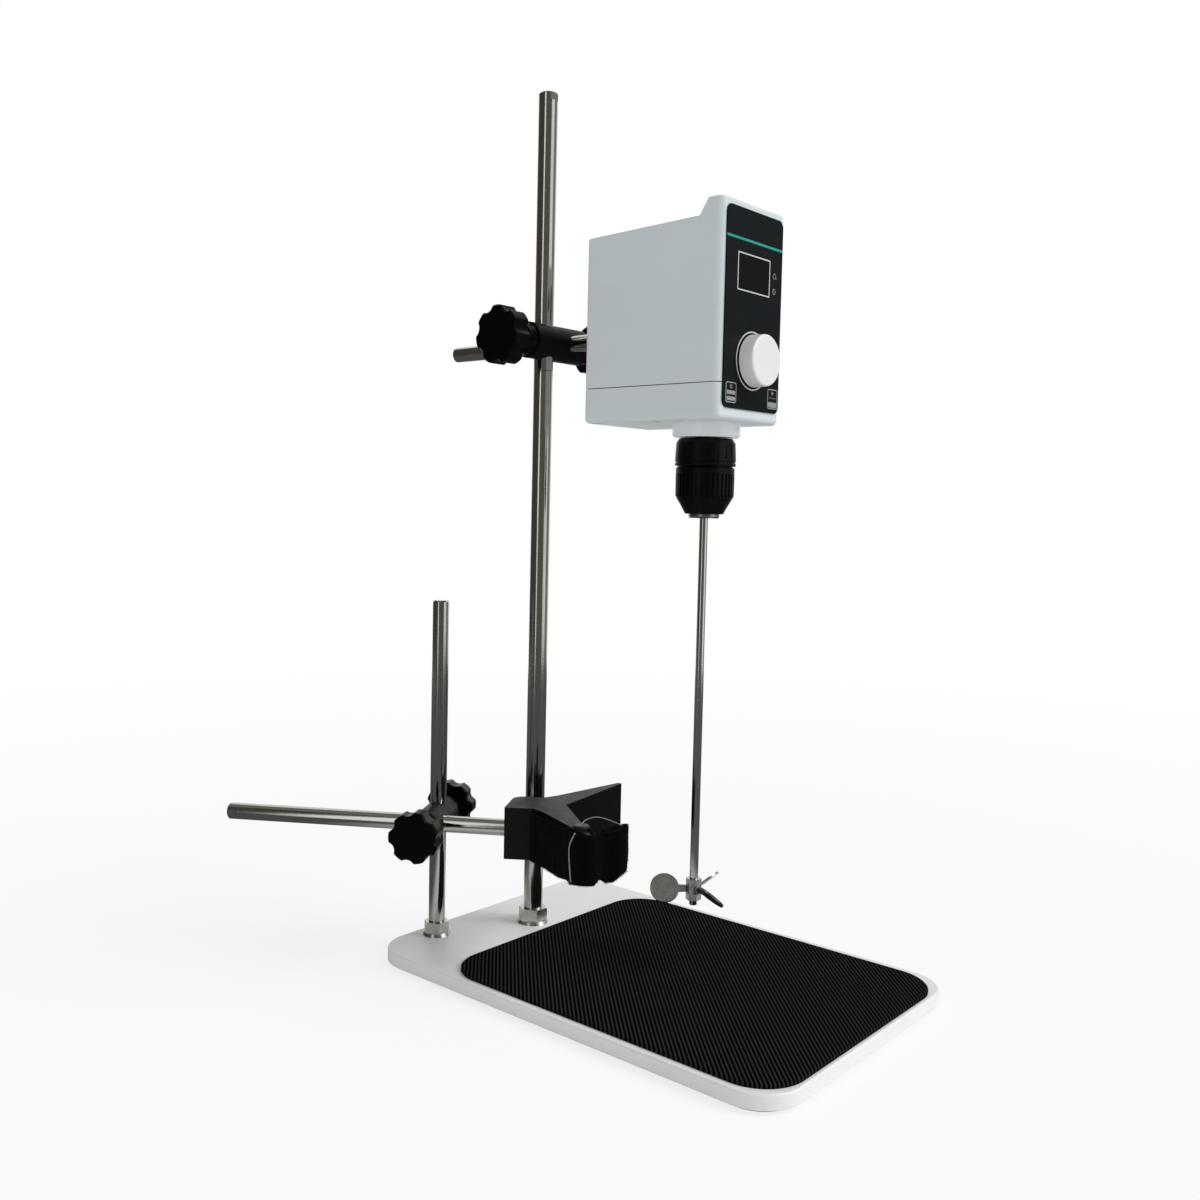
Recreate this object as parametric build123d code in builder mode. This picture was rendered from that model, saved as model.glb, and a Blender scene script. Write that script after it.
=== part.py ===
"""Overhead stirrer on a two-column plate stand, with a V-shaped vessel clamp.

Millimetres, +Z up. The origin is the centre of the stand's underside, the front panel faces -Y and
the two columns stand near the +Y edge of the plate. Every piece is modelled where it sits.
"""
import os
from math import cos, radians, sin, tan

from build123d import *

os.makedirs("parts", exist_ok=True)

# ---------------------------------------------------------------- driving dimensions
RUN = 0.05                    # radial clearance of a piece that turns or slides in another

# plate stand
PLATE_W, PLATE_L, PLATE_T = 190.0, 283.0, 8.0
PLATE_R = 24.0
UNDERLAY_T, UNDERLAY_INSET = 2.0, 4.0
MAT_W, MAT_L, MAT_T, MAT_R = 177.5, 222.0, 2.0, 25.0
MAT_X, MAT_Y = -1.9, -28.1
PLATE_TOP = UNDERLAY_T + PLATE_T
MAT_TOP = PLATE_TOP + MAT_T

# tall column, in two screwed halves, and short column
TALL_X, TALL_Y, TALL_R = 2.4, 100.5, 6.0
TALL_JOINT_Z, TALL_TOP = 359.0, 528.0
STUD_R, STUD_L = 4.0, 15.0
TALL_FLAT_H, TALL_FLAT_AF = 5.0, 10.0
SHORT_X, SHORT_Y, SHORT_R = -55.0, 128.0, 5.0
SHORT_TOP = 217.0
COLUMN_EDGE = 0.8             # chamfer on the rod ends

# clamping bosses and their star knobs
STAR_LOBES = 7
MAIN_BOSS_R, MAIN_BOSS_Z = 11.0, 377.0
MAIN_BOSS_BACK, MAIN_BOSS_FRONT = -12.9, 35.0      # the two ends along X
MAIN_KNOB_D, MAIN_KNOB_HEAD, MAIN_KNOB_HUB = 35.0, 13.0, 14.0
MAIN_SCREW_R = 3.0
SMALL_BOSS_R, SMALL_BOSS_Z = 9.5, 83.7
SMALL_BOSS_FRONT, SMALL_BOSS_BACK = -29.0, 13.0    # the two ends, from the short column's axis
SMALL_KNOB_D, SMALL_KNOB_HEAD, SMALL_KNOB_HUB = 30.0, 11.0, 12.0
SMALL_SCREW_R = 2.5
SMALL_BOSS_TURN = 32.0        # heading of the small boss from +X, degrees

# head and its support rod
HEAD_X, HEAD_W = 18.2, 62.4
HEAD_FRONT, HEAD_BACK = -42.6, 53.4
HEAD_BOTTOM, HEAD_SPLIT = 324.5, 344.5
HEAD_TOP_FRONT, HEAD_TOP_BACK = 434.2, 431.4
LIP_TOP, LIP_FLAT, LIP_RUN = 443.2, 10.0, 15.8
WALL = 2.5
SEAM = 0.25                   # half of the visible gap between the two shells
FRONT_CORNER_R, BACK_CORNER_R, BOTTOM_EDGE_R, TOP_EDGE_R = 4.5, 3.5, 3.0, 1.4
SHELL_SCREW_X, BRIDGE_POST_X = 26.0, 19.5
POST_R, BRIDGE_POST_R = 3.2, 3.0
SHELL_HOLE_R, TAPPING_R = 1.6, 1.25
SCREW_HEAD_R, COUNTERBORE_R, COUNTERBORE_T = 2.6, 2.9, 5.0
SET_SCREW_R, SET_SCREW_EDGE = 2.0, 0.5
ROD_R, ROD_END_Y, ROD_INNER_Y = 5.0, 196.0, 39.0

# front panel, display, control knob
PANEL_W, PANEL_BOTTOM, PANEL_TOP, PANEL_T, PANEL_R = 55.5, 331.0, 439.4, 0.8, 4.0
DISPLAY_W, DISPLAY_H, DISPLAY_Z, DISPLAY_SHIFT = 30.6, 19.0, 405.4, -0.9
KNOB_Z, KNOB_D, KNOB_GAP, KNOB_L = 358.2, 28.8, 0.8, 8.8
KNOB_WALL, KNOB_FACE_T, KNOB_CORE_R = 2.0, 2.4, 5.5
ENCODER_SHAFT_R, BUSHING_R, BUSHING_HOLE_R = 3.0, 3.6, 4.0
BOARD_FACE_Y, BOARD_T, BOARD_W, BOARD_H, BOARD_Z = -33.5, 1.6, 50.0, 77.0, 389.5

# rear wall of the head
SOCKET_X, SOCKET_Z = 14.0, 408.0
JACK_R, JACK_BORE_R, JACK_PIN_R = 4.0, 2.8, 1.0
SWITCH_W, SWITCH_H, SWITCH_DEPTH = 13.0, 19.0, 11.0
SWITCH_FLANGE, SWITCH_WALL, TRUNNION_R = 1.5, 1.1, 1.5

# drive train
SPINDLE_Y = -13.5
SPINDLE_R = 4.0
GEAR_MODULE, GEAR_TEETH, PINION_TEETH = 1.0, 45, 15
TOOTH_HALF = 0.69             # half a tooth's width at the pitch circle, in modules
GEAR_Z, GEAR_T = 329.0, 8.0
MOTOR_Y = SPINDLE_Y + GEAR_MODULE * (GEAR_TEETH + PINION_TEETH) / 2
MOTOR_R, MOTOR_L, MOTOR_SHAFT_R = 19.0, 44.0, 2.5
BRIDGE_Z, BRIDGE_T, BRIDGE_W, BRIDGE_L = 340.0, 7.0, 45.2, 75.0
BEARING_R, BEARING_T = 11.0, 7.0
INNER_RACE_R, OUTER_RACE_R, SHIELD_RECESS = 6.0, 9.4, 0.4
MACHINE_SCREW_R, MOTOR_SCREW_PITCH = 1.5, 9.0
MACHINE_HEAD_T, MACHINE_SCREW_L, CLIP_T, CLIP_R = 1.7, 12.0, 0.8, 5.6

# collar and keyless chuck
COLLAR_R, COLLAR_BOTTOM, COLLAR_BORE_R, COLLAR_SPIGOT_R = 19.5, 316.5, 8.0, 13.0
CHUCK_TOP, CHUCK_GROOVE_Z, CHUCK_RIB_END, CHUCK_TIP_Z, CHUCK_NOSE_Z = 315.9, 300.4, 283.0, 273.0, 270.6
REAR_SLEEVE_R, FRONT_SLEEVE_R, SLEEVE_TIP_R, NOSE_R = 17.5, 16.8, 11.3, 8.9
FRONT_FLUTES, FRONT_FLUTE_W, FRONT_FLUTE_DEPTH = 36, 1.4, 0.7
REAR_FLUTES, REAR_FLUTE_W, REAR_FLUTE_DEPTH = 21, 0.9, 0.5
SKIRT_R, SKIRT_BORE_R, SKIRT_L = 15.4, 14.5, 2.4       # lip of the rear sleeve inside the front one
JAW_R, JAW_TILT, JAW_TIP_R, JAW_L = 2.8, 14.0, 3.5, 26.0
CHUCK_NUT_Z, CHUCK_NUT_T = 291.0, 6.0

# stirring shaft and propeller
SHAFT_R, SHAFT_TOP, SHAFT_BOTTOM = 2.5, 291.0, 44.0
PROP_Z, PROP_R, BLADES, FIRST_BLADE_TURN = 53.5, 25.5, 3, 130.0
BLADE_R, BLADE_CHORD_R, BLADE_T, BLADE_PITCH = 8.5, 9.4, 1.2, -42.0
PROP_HUB_R, PROP_HUB_H, PROP_NUT_AF, PROP_NUT_H = 4.6, 4.5, 8.0, 4.0

# vessel clamp
CLAMP_ROD_BACK, CLAMP_ROD_L = -128.0, 192.0
CLAMP_BACK = 48.5             # back face of the clamp along the clamp rod
CLAMP_BOTTOM, CLAMP_TOP = 69.0, 99.6
CLAMP_HALF_W, CLAMP_APEX, CLAMP_TIP_U, CLAMP_TIP_V = 14.5, 34.0, 58.0, 63.0
CLAMP_SOCKET = 17.0
CLAMP_TIP_RISE = 3.6          # the underside of the arms rises this much towards the tips
STRAP_BOTTOM, STRAP_TOP, STRAP_CLEAR = 71.5, 101.0, 0.5
STRAP_ROLLS = [(55.0, -57.5, 9.3), (69.0, -48.5, 8.8)]

# ---------------------------------------------------------------- planes and axes shared by pieces
tall_plane = Plane(origin=(TALL_X, TALL_Y, 0))
short_plane = Plane(origin=(SHORT_X, SHORT_Y, 0))
spindle_plane = Plane(origin=(HEAD_X, SPINDLE_Y, 0))
motor_plane = Plane(origin=(HEAD_X, MOTOR_Y, 0))
head_plane = Plane(origin=(HEAD_X, (HEAD_FRONT + HEAD_BACK) / 2, 0))

boss_dir = Vector(cos(radians(SMALL_BOSS_TURN)), sin(radians(SMALL_BOSS_TURN)), 0)
rod_dir = Vector(boss_dir.Y, -boss_dir.X, 0)
SMALL_ROD_OFFSET = 16.0       # clamp rod axis in front of the short column's axis
MAIN_ROD_OFFSET = HEAD_X - TALL_X
small_boss_centre = Vector(SHORT_X, SHORT_Y, SMALL_BOSS_Z)
clamp_rod_centre = small_boss_centre - boss_dir * SMALL_ROD_OFFSET
clamp_plane = Plane(origin=clamp_rod_centre + rod_dir * CLAMP_BACK - Vector(0, 0, SMALL_BOSS_Z),
                    x_dir=rod_dir, z_dir=(0, 0, 1))


def save(piece, name):
    """Label a finished piece and write it to its own file."""
    piece.part.label = name
    export_step(piece.part, f"parts/{name}.step")


def half_section(plane, points):
    """Closed outline of (radius, height) points in the vertical plane through the plane's origin."""
    with BuildSketch(Plane(origin=plane.origin, x_dir=(1, 0, 0), z_dir=(0, -1, 0))) as section:
        with BuildLine():
            Polyline(*points, close=True)
        make_face()
    return section.sketch


def upright(plane):
    """Vertical axis through the plane's origin."""
    return Axis(plane.origin, (0, 0, 1))


# ---------------------------------------------------------------- plate stand
with BuildPart() as base_underlay:
    with BuildSketch():
        RectangleRounded(PLATE_W - 2 * UNDERLAY_INSET, PLATE_L - 2 * UNDERLAY_INSET, PLATE_R - UNDERLAY_INSET)
    extrude(amount=UNDERLAY_T)
save(base_underlay, "base_underlay")

with BuildPart() as base_plate:
    with BuildSketch(Plane.XY.offset(UNDERLAY_T)):
        RectangleRounded(PLATE_W, PLATE_L, PLATE_R)
    extrude(amount=PLATE_T)
    fillet(base_plate.faces().sort_by(Axis.Z)[-1].edges(), 1.2)
    chamfer(base_plate.faces().sort_by(Axis.Z)[0].edges(), 0.6)
    with BuildSketch(tall_plane.offset(UNDERLAY_T)):
        Circle(STUD_R + 1)
    extrude(amount=PLATE_T, mode=Mode.SUBTRACT)
    with BuildSketch(short_plane.offset(UNDERLAY_T)):
        Circle(STUD_R + RUN)
    extrude(amount=PLATE_T, mode=Mode.SUBTRACT)
save(base_plate, "base_plate")

with BuildPart() as base_mat:
    with BuildSketch(Plane(origin=(MAT_X, MAT_Y, PLATE_TOP))):
        RectangleRounded(MAT_W, MAT_L, MAT_R)
    extrude(amount=MAT_T)
    chamfer(base_mat.faces().sort_by(Axis.Z)[-1].edges(), 0.5)
save(base_mat, "base_mat")

with BuildPart() as lower_column:
    outline = [(0, UNDERLAY_T + 0.5), (STUD_R + 1, UNDERLAY_T + 0.5), (STUD_R + 1, PLATE_TOP),
               (TALL_R, PLATE_TOP), (TALL_R, TALL_JOINT_Z - 0.4), (TALL_R - 0.4, TALL_JOINT_Z),
               (STUD_R + RUN, TALL_JOINT_Z), (STUD_R + RUN, TALL_JOINT_Z - STUD_L - 1),
               (0, TALL_JOINT_Z - STUD_L - 1)]
    revolve(half_section(tall_plane, outline), axis=upright(tall_plane))
save(lower_column, "lower_column")

with BuildPart() as upper_column:
    joint = TALL_JOINT_Z + RUN
    outline = [(0, joint - STUD_L), (STUD_R, joint - STUD_L), (STUD_R, joint), (TALL_R - 0.4, joint),
               (TALL_R, joint + 0.4), (TALL_R, TALL_TOP - COLUMN_EDGE), (TALL_R - COLUMN_EDGE, TALL_TOP),
               (0, TALL_TOP)]
    revolve(half_section(tall_plane, outline), axis=upright(tall_plane))
    flats = tall_plane.offset(TALL_TOP - TALL_FLAT_H)
    with BuildSketch(flats):
        Circle(2 * TALL_R)
        Rectangle(4 * TALL_R, TALL_FLAT_AF, mode=Mode.SUBTRACT)
    extrude(amount=TALL_FLAT_H, mode=Mode.SUBTRACT)
save(upper_column, "upper_column")

with BuildPart() as short_column:
    outline = [(0, UNDERLAY_T + 0.5), (STUD_R, UNDERLAY_T + 0.5), (STUD_R, PLATE_TOP + RUN),
               (SHORT_R, PLATE_TOP + RUN), (SHORT_R, SHORT_TOP - COLUMN_EDGE),
               (SHORT_R - COLUMN_EDGE, SHORT_TOP), (0, SHORT_TOP)]
    revolve(half_section(short_plane, outline), axis=upright(short_plane))
save(short_column, "short_column")


def flange_nut(plane, across_flats, height, flange_r, bore_r):
    """Hexagon nut with a round flange and chamfered corners, standing on the plate."""
    flange_h = 2.0
    corner = across_flats / 2 / cos(radians(30))
    with BuildPart() as nut:
        with BuildSketch(plane.offset(PLATE_TOP)):
            Circle(flange_r)
        extrude(amount=flange_h, taper=25)
        with BuildSketch(plane.offset(PLATE_TOP)):
            RegularPolygon(corner, 6)
        extrude(amount=height)
        top = PLATE_TOP + height
        outline = [(0, PLATE_TOP), (corner + 5, PLATE_TOP), (corner + 5, top - 3.2), (corner - 1.0, top),
                   (0, top)]
        revolve(half_section(plane, outline), axis=upright(plane), mode=Mode.INTERSECT)
        with BuildSketch(plane.offset(PLATE_TOP)):
            Circle(bore_r)
        extrude(amount=height, mode=Mode.SUBTRACT)
    return nut


tall_column_nut = flange_nut(tall_plane, 16.0, 9.5, 10.0, TALL_R)
save(tall_column_nut, "tall_column_nut")
short_column_nut = flange_nut(short_plane, 13.5, 8.5, 8.5, SHORT_R + RUN)
save(short_column_nut, "short_column_nut")


# ---------------------------------------------------------------- clamping bosses and star knobs
def boss(centre, along, across, radius, start, end, screw_r, column_r, rod_r, rod_at):
    """Round bar with a vertical column bore, a crossing rod bore and a clamp screw from each end."""
    first = Plane(origin=centre + along * start, z_dir=along)
    with BuildPart() as bar:
        with BuildSketch(first):
            Circle(radius)
        extrude(amount=end - start)
        chamfer(bar.edges().filter_by(GeomType.CIRCLE), 0.8)
        with BuildSketch(Plane(origin=centre - Vector(0, 0, 2 * radius))):
            Circle(column_r + RUN)
        extrude(amount=4 * radius, mode=Mode.SUBTRACT)
        with BuildSketch(Plane(origin=centre + along * rod_at - across * 2 * radius, z_dir=across)):
            Circle(rod_r + RUN)
        extrude(amount=4 * radius, mode=Mode.SUBTRACT)
        for at, near in ((start, min(0, rod_at)), (end, max(0, rod_at))):
            with BuildSketch(Plane(origin=centre + along * at, z_dir=along * (1 if near > at else -1))):
                Circle(screw_r + RUN)
            extrude(amount=abs(near - at), mode=Mode.SUBTRACT)
    return bar


def star_knob(seat, diameter, head, hub, screw_r):
    """Lobed grip on a stepped hub. The seat is the boss's end, and its normal points outwards."""
    outward = Axis(seat.origin, seat.z_dir)
    valley_r = 0.16 * diameter
    with BuildPart() as knob:
        with BuildSketch(seat.offset(hub)) as grip:
            Circle(diameter / 2)
            with PolarLocations(diameter / 2 + 0.6 * valley_r, STAR_LOBES):
                Circle(valley_r, mode=Mode.SUBTRACT)
            fillet(grip.vertices(), 0.05 * diameter)
        extrude(amount=head)
        chamfer(knob.faces().sort_by(outward)[-1].edges(), 1.0)
        chamfer(knob.faces().sort_by(outward)[0].edges(), 0.8)
        with BuildSketch(seat.offset(0.45 * hub)):
            Circle(0.23 * diameter)
        extrude(amount=0.55 * hub)
        with BuildSketch(seat.offset(0.6)):
            Circle(0.28 * diameter)
        extrude(amount=0.45 * hub)
        with BuildSketch(seat.offset(0.6)):
            Circle(screw_r)
        extrude(amount=hub + 0.5 * head, mode=Mode.SUBTRACT)
    return knob


def clamp_screw(seat, depth, hub, head, screw_r):
    """Plain clamping screw moulded into a star knob; depth is the way in to the rod it presses on."""
    with BuildPart() as screw:
        with BuildSketch(seat.offset(-depth)):
            Circle(screw_r)
        extrude(amount=depth + 0.6 + hub + 0.5 * head)
        chamfer(screw.edges().sort_by(Axis(seat.origin, seat.z_dir))[0], 0.6)
    return screw


along_x, along_y = Vector(1, 0, 0), Vector(0, 1, 0)
main_centre = Vector(TALL_X, TALL_Y, MAIN_BOSS_Z)
main_back, main_front = MAIN_BOSS_BACK - TALL_X, MAIN_BOSS_FRONT - TALL_X
main_boss = boss(main_centre, along_x, along_y, MAIN_BOSS_R, main_back, main_front, MAIN_SCREW_R,
                 TALL_R, ROD_R, MAIN_ROD_OFFSET)
save(main_boss, "main_boss")
small_boss = boss(small_boss_centre, boss_dir, rod_dir, SMALL_BOSS_R, SMALL_BOSS_FRONT, SMALL_BOSS_BACK,
                  SMALL_SCREW_R, SHORT_R, ROD_R, -SMALL_ROD_OFFSET)
save(small_boss, "small_boss")

TIP_GAP = 0.1                 # left between a clamp screw's tip and the rod it presses on
knob_seats = {
    "main_column": (Plane(origin=main_centre + along_x * main_back, z_dir=-along_x),
                    -main_back - TALL_R - TIP_GAP),
    "main_rod": (Plane(origin=main_centre + along_x * main_front, z_dir=along_x),
                 main_front - MAIN_ROD_OFFSET - ROD_R - TIP_GAP),
    "small_rod": (Plane(origin=small_boss_centre + boss_dir * SMALL_BOSS_FRONT, z_dir=-boss_dir),
                  -SMALL_BOSS_FRONT - SMALL_ROD_OFFSET - ROD_R - TIP_GAP),
    "small_column": (Plane(origin=small_boss_centre + boss_dir * SMALL_BOSS_BACK, z_dir=boss_dir),
                     SMALL_BOSS_BACK - SHORT_R - TIP_GAP),
}
for knob_name, (seat, depth) in knob_seats.items():
    if knob_name.startswith("main"):
        diameter, head, hub, screw_r = MAIN_KNOB_D, MAIN_KNOB_HEAD, MAIN_KNOB_HUB, MAIN_SCREW_R
    else:
        diameter, head, hub, screw_r = SMALL_KNOB_D, SMALL_KNOB_HEAD, SMALL_KNOB_HUB, SMALL_SCREW_R
    save(star_knob(seat, diameter, head, hub, screw_r), f"{knob_name}_knob")
    save(clamp_screw(seat, depth, hub, head, screw_r), f"{knob_name}_screw")

# ---------------------------------------------------------------- support rod and its mount in the head
rod_axis_plane = Plane(origin=(HEAD_X, ROD_INNER_Y, MAIN_BOSS_Z), x_dir=(1, 0, 0), z_dir=(0, 1, 0))
with BuildPart() as support_rod:
    with BuildSketch(rod_axis_plane):
        Circle(ROD_R)
    extrude(amount=ROD_END_Y - ROD_INNER_Y)
    chamfer(support_rod.edges().filter_by(GeomType.CIRCLE), COLUMN_EDGE)
save(support_rod, "support_rod")

inner_back = HEAD_BACK - WALL
with BuildPart() as rod_mount:
    with BuildSketch(rod_axis_plane.offset(-1)):
        RectangleRounded(30, 28, 4)
        Circle(ROD_R + RUN, mode=Mode.SUBTRACT)
    extrude(amount=inner_back - ROD_INNER_Y + 1)
    with BuildSketch(Plane(origin=(HEAD_X, (ROD_INNER_Y + inner_back) / 2, MAIN_BOSS_Z))):
        Circle(SET_SCREW_R)
    extrude(amount=14, mode=Mode.SUBTRACT)
save(rod_mount, "rod_mount")

with BuildPart() as rod_set_screw:
    with BuildSketch(Plane(origin=(HEAD_X, (ROD_INNER_Y + inner_back) / 2, MAIN_BOSS_Z + ROD_R + TIP_GAP))):
        Circle(SET_SCREW_R)
    extrude(amount=8.5)
    chamfer(rod_set_screw.edges().sort_by(Axis.Z)[0], SET_SCREW_EDGE)
    with BuildSketch(Plane(origin=rod_set_screw.faces().sort_by(Axis.Z)[-1].center())):
        RegularPolygon(1.15, 6)
    extrude(amount=-2.5, mode=Mode.SUBTRACT)
save(rod_set_screw, "rod_set_screw")

# ---------------------------------------------------------------- head shells
shell_screw_spots = [(x, y) for x in (-SHELL_SCREW_X, SHELL_SCREW_X) for y in (3.0, 46.5)]
bridge_post_spots = [(x, y) for x in (-BRIDGE_POST_X, BRIDGE_POST_X) for y in (-33.5, 34.0)]
head_x_plane = Plane(origin=(HEAD_X, 0, 0))

with BuildPart() as lower_housing:
    split = HEAD_SPLIT - SEAM
    with BuildSketch(head_plane.offset(HEAD_BOTTOM)) as footprint:
        Rectangle(HEAD_W, HEAD_BACK - HEAD_FRONT)
        fillet(footprint.vertices().sort_by(Axis.Y)[:2], FRONT_CORNER_R)
        fillet(footprint.vertices().sort_by(Axis.Y)[-2:], BACK_CORNER_R)
    extrude(amount=split - HEAD_BOTTOM)
    fillet(lower_housing.faces().sort_by(Axis.Z)[0].edges(), BOTTOM_EDGE_R)
    offset(amount=-WALL, openings=lower_housing.faces().sort_by(Axis.Z)[-1], kind=Kind.INTERSECTION)
    with BuildSketch(head_x_plane.offset(HEAD_BOTTOM + WALL)):
        with Locations(*shell_screw_spots):
            Circle(POST_R)
    extrude(amount=split - HEAD_BOTTOM - WALL)
    with BuildSketch(head_x_plane.offset(HEAD_BOTTOM + WALL)):
        with Locations(*bridge_post_spots):
            Circle(BRIDGE_POST_R)
    extrude(amount=BRIDGE_Z - HEAD_BOTTOM - WALL)
    with BuildSketch(head_x_plane.offset(HEAD_BOTTOM)):
        with Locations(*shell_screw_spots):
            Circle(SHELL_HOLE_R)
    extrude(amount=split - HEAD_BOTTOM, mode=Mode.SUBTRACT)
    with BuildSketch(head_x_plane.offset(HEAD_BOTTOM)):
        with Locations(*shell_screw_spots):
            Circle(COUNTERBORE_R)
    extrude(amount=COUNTERBORE_T, mode=Mode.SUBTRACT)
    with BuildSketch(head_x_plane.offset(BRIDGE_Z)):
        with Locations(*bridge_post_spots):
            Circle(MACHINE_SCREW_R)
    extrude(amount=-7.0, mode=Mode.SUBTRACT)
    with BuildSketch(spindle_plane.offset(HEAD_BOTTOM)):
        Circle(COLLAR_SPIGOT_R)
    extrude(amount=WALL, mode=Mode.SUBTRACT)
save(lower_housing, "lower_housing")


def head_silhouette(inset, floor):
    """Side outline of the upper shell with its raised front lip, drawn inset from the outer faces."""
    side = Plane(origin=(HEAD_X - HEAD_W / 2 + inset, 0, 0), x_dir=(0, 1, 0), z_dir=(1, 0, 0))
    with BuildSketch(side) as silhouette:
        with BuildLine():
            Polyline((HEAD_FRONT + inset, floor), (HEAD_FRONT + inset, LIP_TOP - inset),
                     (HEAD_FRONT + LIP_FLAT - inset / 2, LIP_TOP - inset),
                     (HEAD_FRONT + LIP_RUN - inset / 2, HEAD_TOP_FRONT - inset),
                     (HEAD_BACK - inset, HEAD_TOP_BACK - inset), (HEAD_BACK - inset, floor), close=True)
        make_face()
        bends = [v for v in silhouette.vertices() if HEAD_FRONT + 4 < v.Y < HEAD_BACK - 4]
        fillet(bends, 3.0)
    return silhouette.sketch


with BuildPart() as upper_housing:
    split = HEAD_SPLIT + SEAM
    extrude(head_silhouette(0, split), amount=HEAD_W)
    uprights = upper_housing.edges().filter_by(Axis.Z)
    fillet(uprights.group_by(Axis.Y)[0], FRONT_CORNER_R)
    fillet(upper_housing.edges().filter_by(Axis.Z).group_by(Axis.Y)[-1], BACK_CORNER_R)
    top_faces = [face for face in upper_housing.faces() if face.normal_at().Z > 0.5]
    rim = {edge for face in top_faces for edge in face.edges()
           if not HEAD_FRONT + 2 < edge.center().Y < HEAD_BACK - 2
           or abs(edge.center().X - HEAD_X) > HEAD_W / 2 - 2}
    fillet(rim, TOP_EDGE_R)
    extrude(head_silhouette(WALL, split - 1), amount=HEAD_W - 2 * WALL, mode=Mode.SUBTRACT)
    with BuildSketch(head_x_plane.offset(split)):
        with Locations(*shell_screw_spots):
            Circle(POST_R)
    extrude(amount=22)
    with BuildSketch(head_x_plane.offset(split)):
        with Locations(*shell_screw_spots):
            Circle(TAPPING_R)
    extrude(amount=16, mode=Mode.SUBTRACT)
    front_wall = Plane(origin=(HEAD_X, HEAD_FRONT + WALL + 0.5, 0), x_dir=(1, 0, 0), z_dir=(0, -1, 0))
    with BuildSketch(front_wall):
        with Locations((DISPLAY_SHIFT, DISPLAY_Z)):
            Rectangle(DISPLAY_W + 1, DISPLAY_H + 1)
        with Locations((0, KNOB_Z)):
            Circle(BUSHING_HOLE_R)
    extrude(amount=WALL + 1, mode=Mode.SUBTRACT)
    back_wall = Plane(origin=(HEAD_X, HEAD_BACK - WALL - 0.5, 0), x_dir=(-1, 0, 0), z_dir=(0, 1, 0))
    with BuildSketch(back_wall):
        with Locations((0, MAIN_BOSS_Z)):
            Circle(ROD_R + 0.5)
        with Locations((SOCKET_X, SOCKET_Z)):
            Circle(JACK_R + RUN)
        with Locations((-SOCKET_X, SOCKET_Z)):
            Rectangle(SWITCH_W, SWITCH_H)
    extrude(amount=WALL + 1, mode=Mode.SUBTRACT)
save(upper_housing, "upper_housing")

with BuildPart() as housing_screws:
    with BuildSketch(head_x_plane.offset(HEAD_BOTTOM + COUNTERBORE_T)):
        with Locations(*shell_screw_spots):
            Circle(SCREW_HEAD_R)
    extrude(amount=-2.4)
    with BuildSketch(head_x_plane.offset(HEAD_BOTTOM + COUNTERBORE_T)):
        with Locations(*shell_screw_spots):
            Circle(TAPPING_R)
    extrude(amount=28)
save(housing_screws, "housing_screws")

# ---------------------------------------------------------------- front panel, display and control knob
panel_face = Plane(origin=(HEAD_X, HEAD_FRONT, 0), x_dir=(1, 0, 0), z_dir=(0, -1, 0))
panel_centre_z = (PANEL_BOTTOM + PANEL_TOP) / 2
with BuildPart() as front_panel:
    with BuildSketch(panel_face):
        with Locations((0, panel_centre_z)):
            RectangleRounded(PANEL_W, PANEL_TOP - PANEL_BOTTOM, PANEL_R)
        with Locations((DISPLAY_SHIFT, DISPLAY_Z)):
            Rectangle(DISPLAY_W, DISPLAY_H, mode=Mode.SUBTRACT)
        with Locations((0, KNOB_Z)):
            Circle(BUSHING_HOLE_R, mode=Mode.SUBTRACT)
    extrude(amount=PANEL_T)
save(front_panel, "front_panel")

with BuildPart() as display_window:
    with BuildSketch(panel_face):
        with Locations((DISPLAY_SHIFT, DISPLAY_Z)):
            Rectangle(DISPLAY_W - 0.1, DISPLAY_H - 0.1)
    extrude(amount=PANEL_T - 0.1)
save(display_window, "display_window")

with BuildPart() as display_module:
    with BuildSketch(Plane(origin=(HEAD_X, BOARD_FACE_Y, 0), x_dir=(1, 0, 0), z_dir=(0, -1, 0))):
        with Locations((DISPLAY_SHIFT, DISPLAY_Z)):
            Rectangle(DISPLAY_W + 0.6, DISPLAY_H + 0.6)
    extrude(amount=BOARD_FACE_Y - HEAD_FRONT - 0.1)
save(display_module, "display_module")

with BuildPart() as circuit_board:
    with BuildSketch(Plane(origin=(HEAD_X, BOARD_FACE_Y, 0), x_dir=(-1, 0, 0), z_dir=(0, 1, 0))):
        with Locations((0, BOARD_Z)):
            Rectangle(BOARD_W, BOARD_H)
            with GridLocations(BOARD_W - 6, BOARD_H - 6, 2, 2):
                Circle(SHELL_HOLE_R, mode=Mode.SUBTRACT)
    extrude(amount=BOARD_T)
    with BuildSketch(Plane(origin=(HEAD_X, BOARD_FACE_Y + BOARD_T, 0), x_dir=(-1, 0, 0), z_dir=(0, 1, 0))):
        with Locations((0, 375), (0, 410)):
            Rectangle(14, 14)
        with Locations((-17, 362), (17, 362), (-17, 384), (17, 384)):
            Circle(4.0)
    extrude(amount=6)
save(circuit_board, "circuit_board")

bushing_face = HEAD_FRONT - PANEL_T - 0.3
encoder_plane = Plane(origin=(HEAD_X, BOARD_FACE_Y, KNOB_Z), x_dir=(1, 0, 0), z_dir=(0, -1, 0))
with BuildPart() as encoder_body:
    with BuildSketch(encoder_plane):
        Rectangle(13, 12)
    extrude(amount=BOARD_FACE_Y - HEAD_FRONT - WALL - 0.1)
    with BuildSketch(encoder_plane):
        Circle(BUSHING_R)
    extrude(amount=BOARD_FACE_Y - bushing_face)
    with BuildSketch(encoder_plane.offset(2)):
        Circle(ENCODER_SHAFT_R + RUN)
    extrude(amount=BOARD_FACE_Y - bushing_face, mode=Mode.SUBTRACT)
save(encoder_body, "encoder_body")

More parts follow.
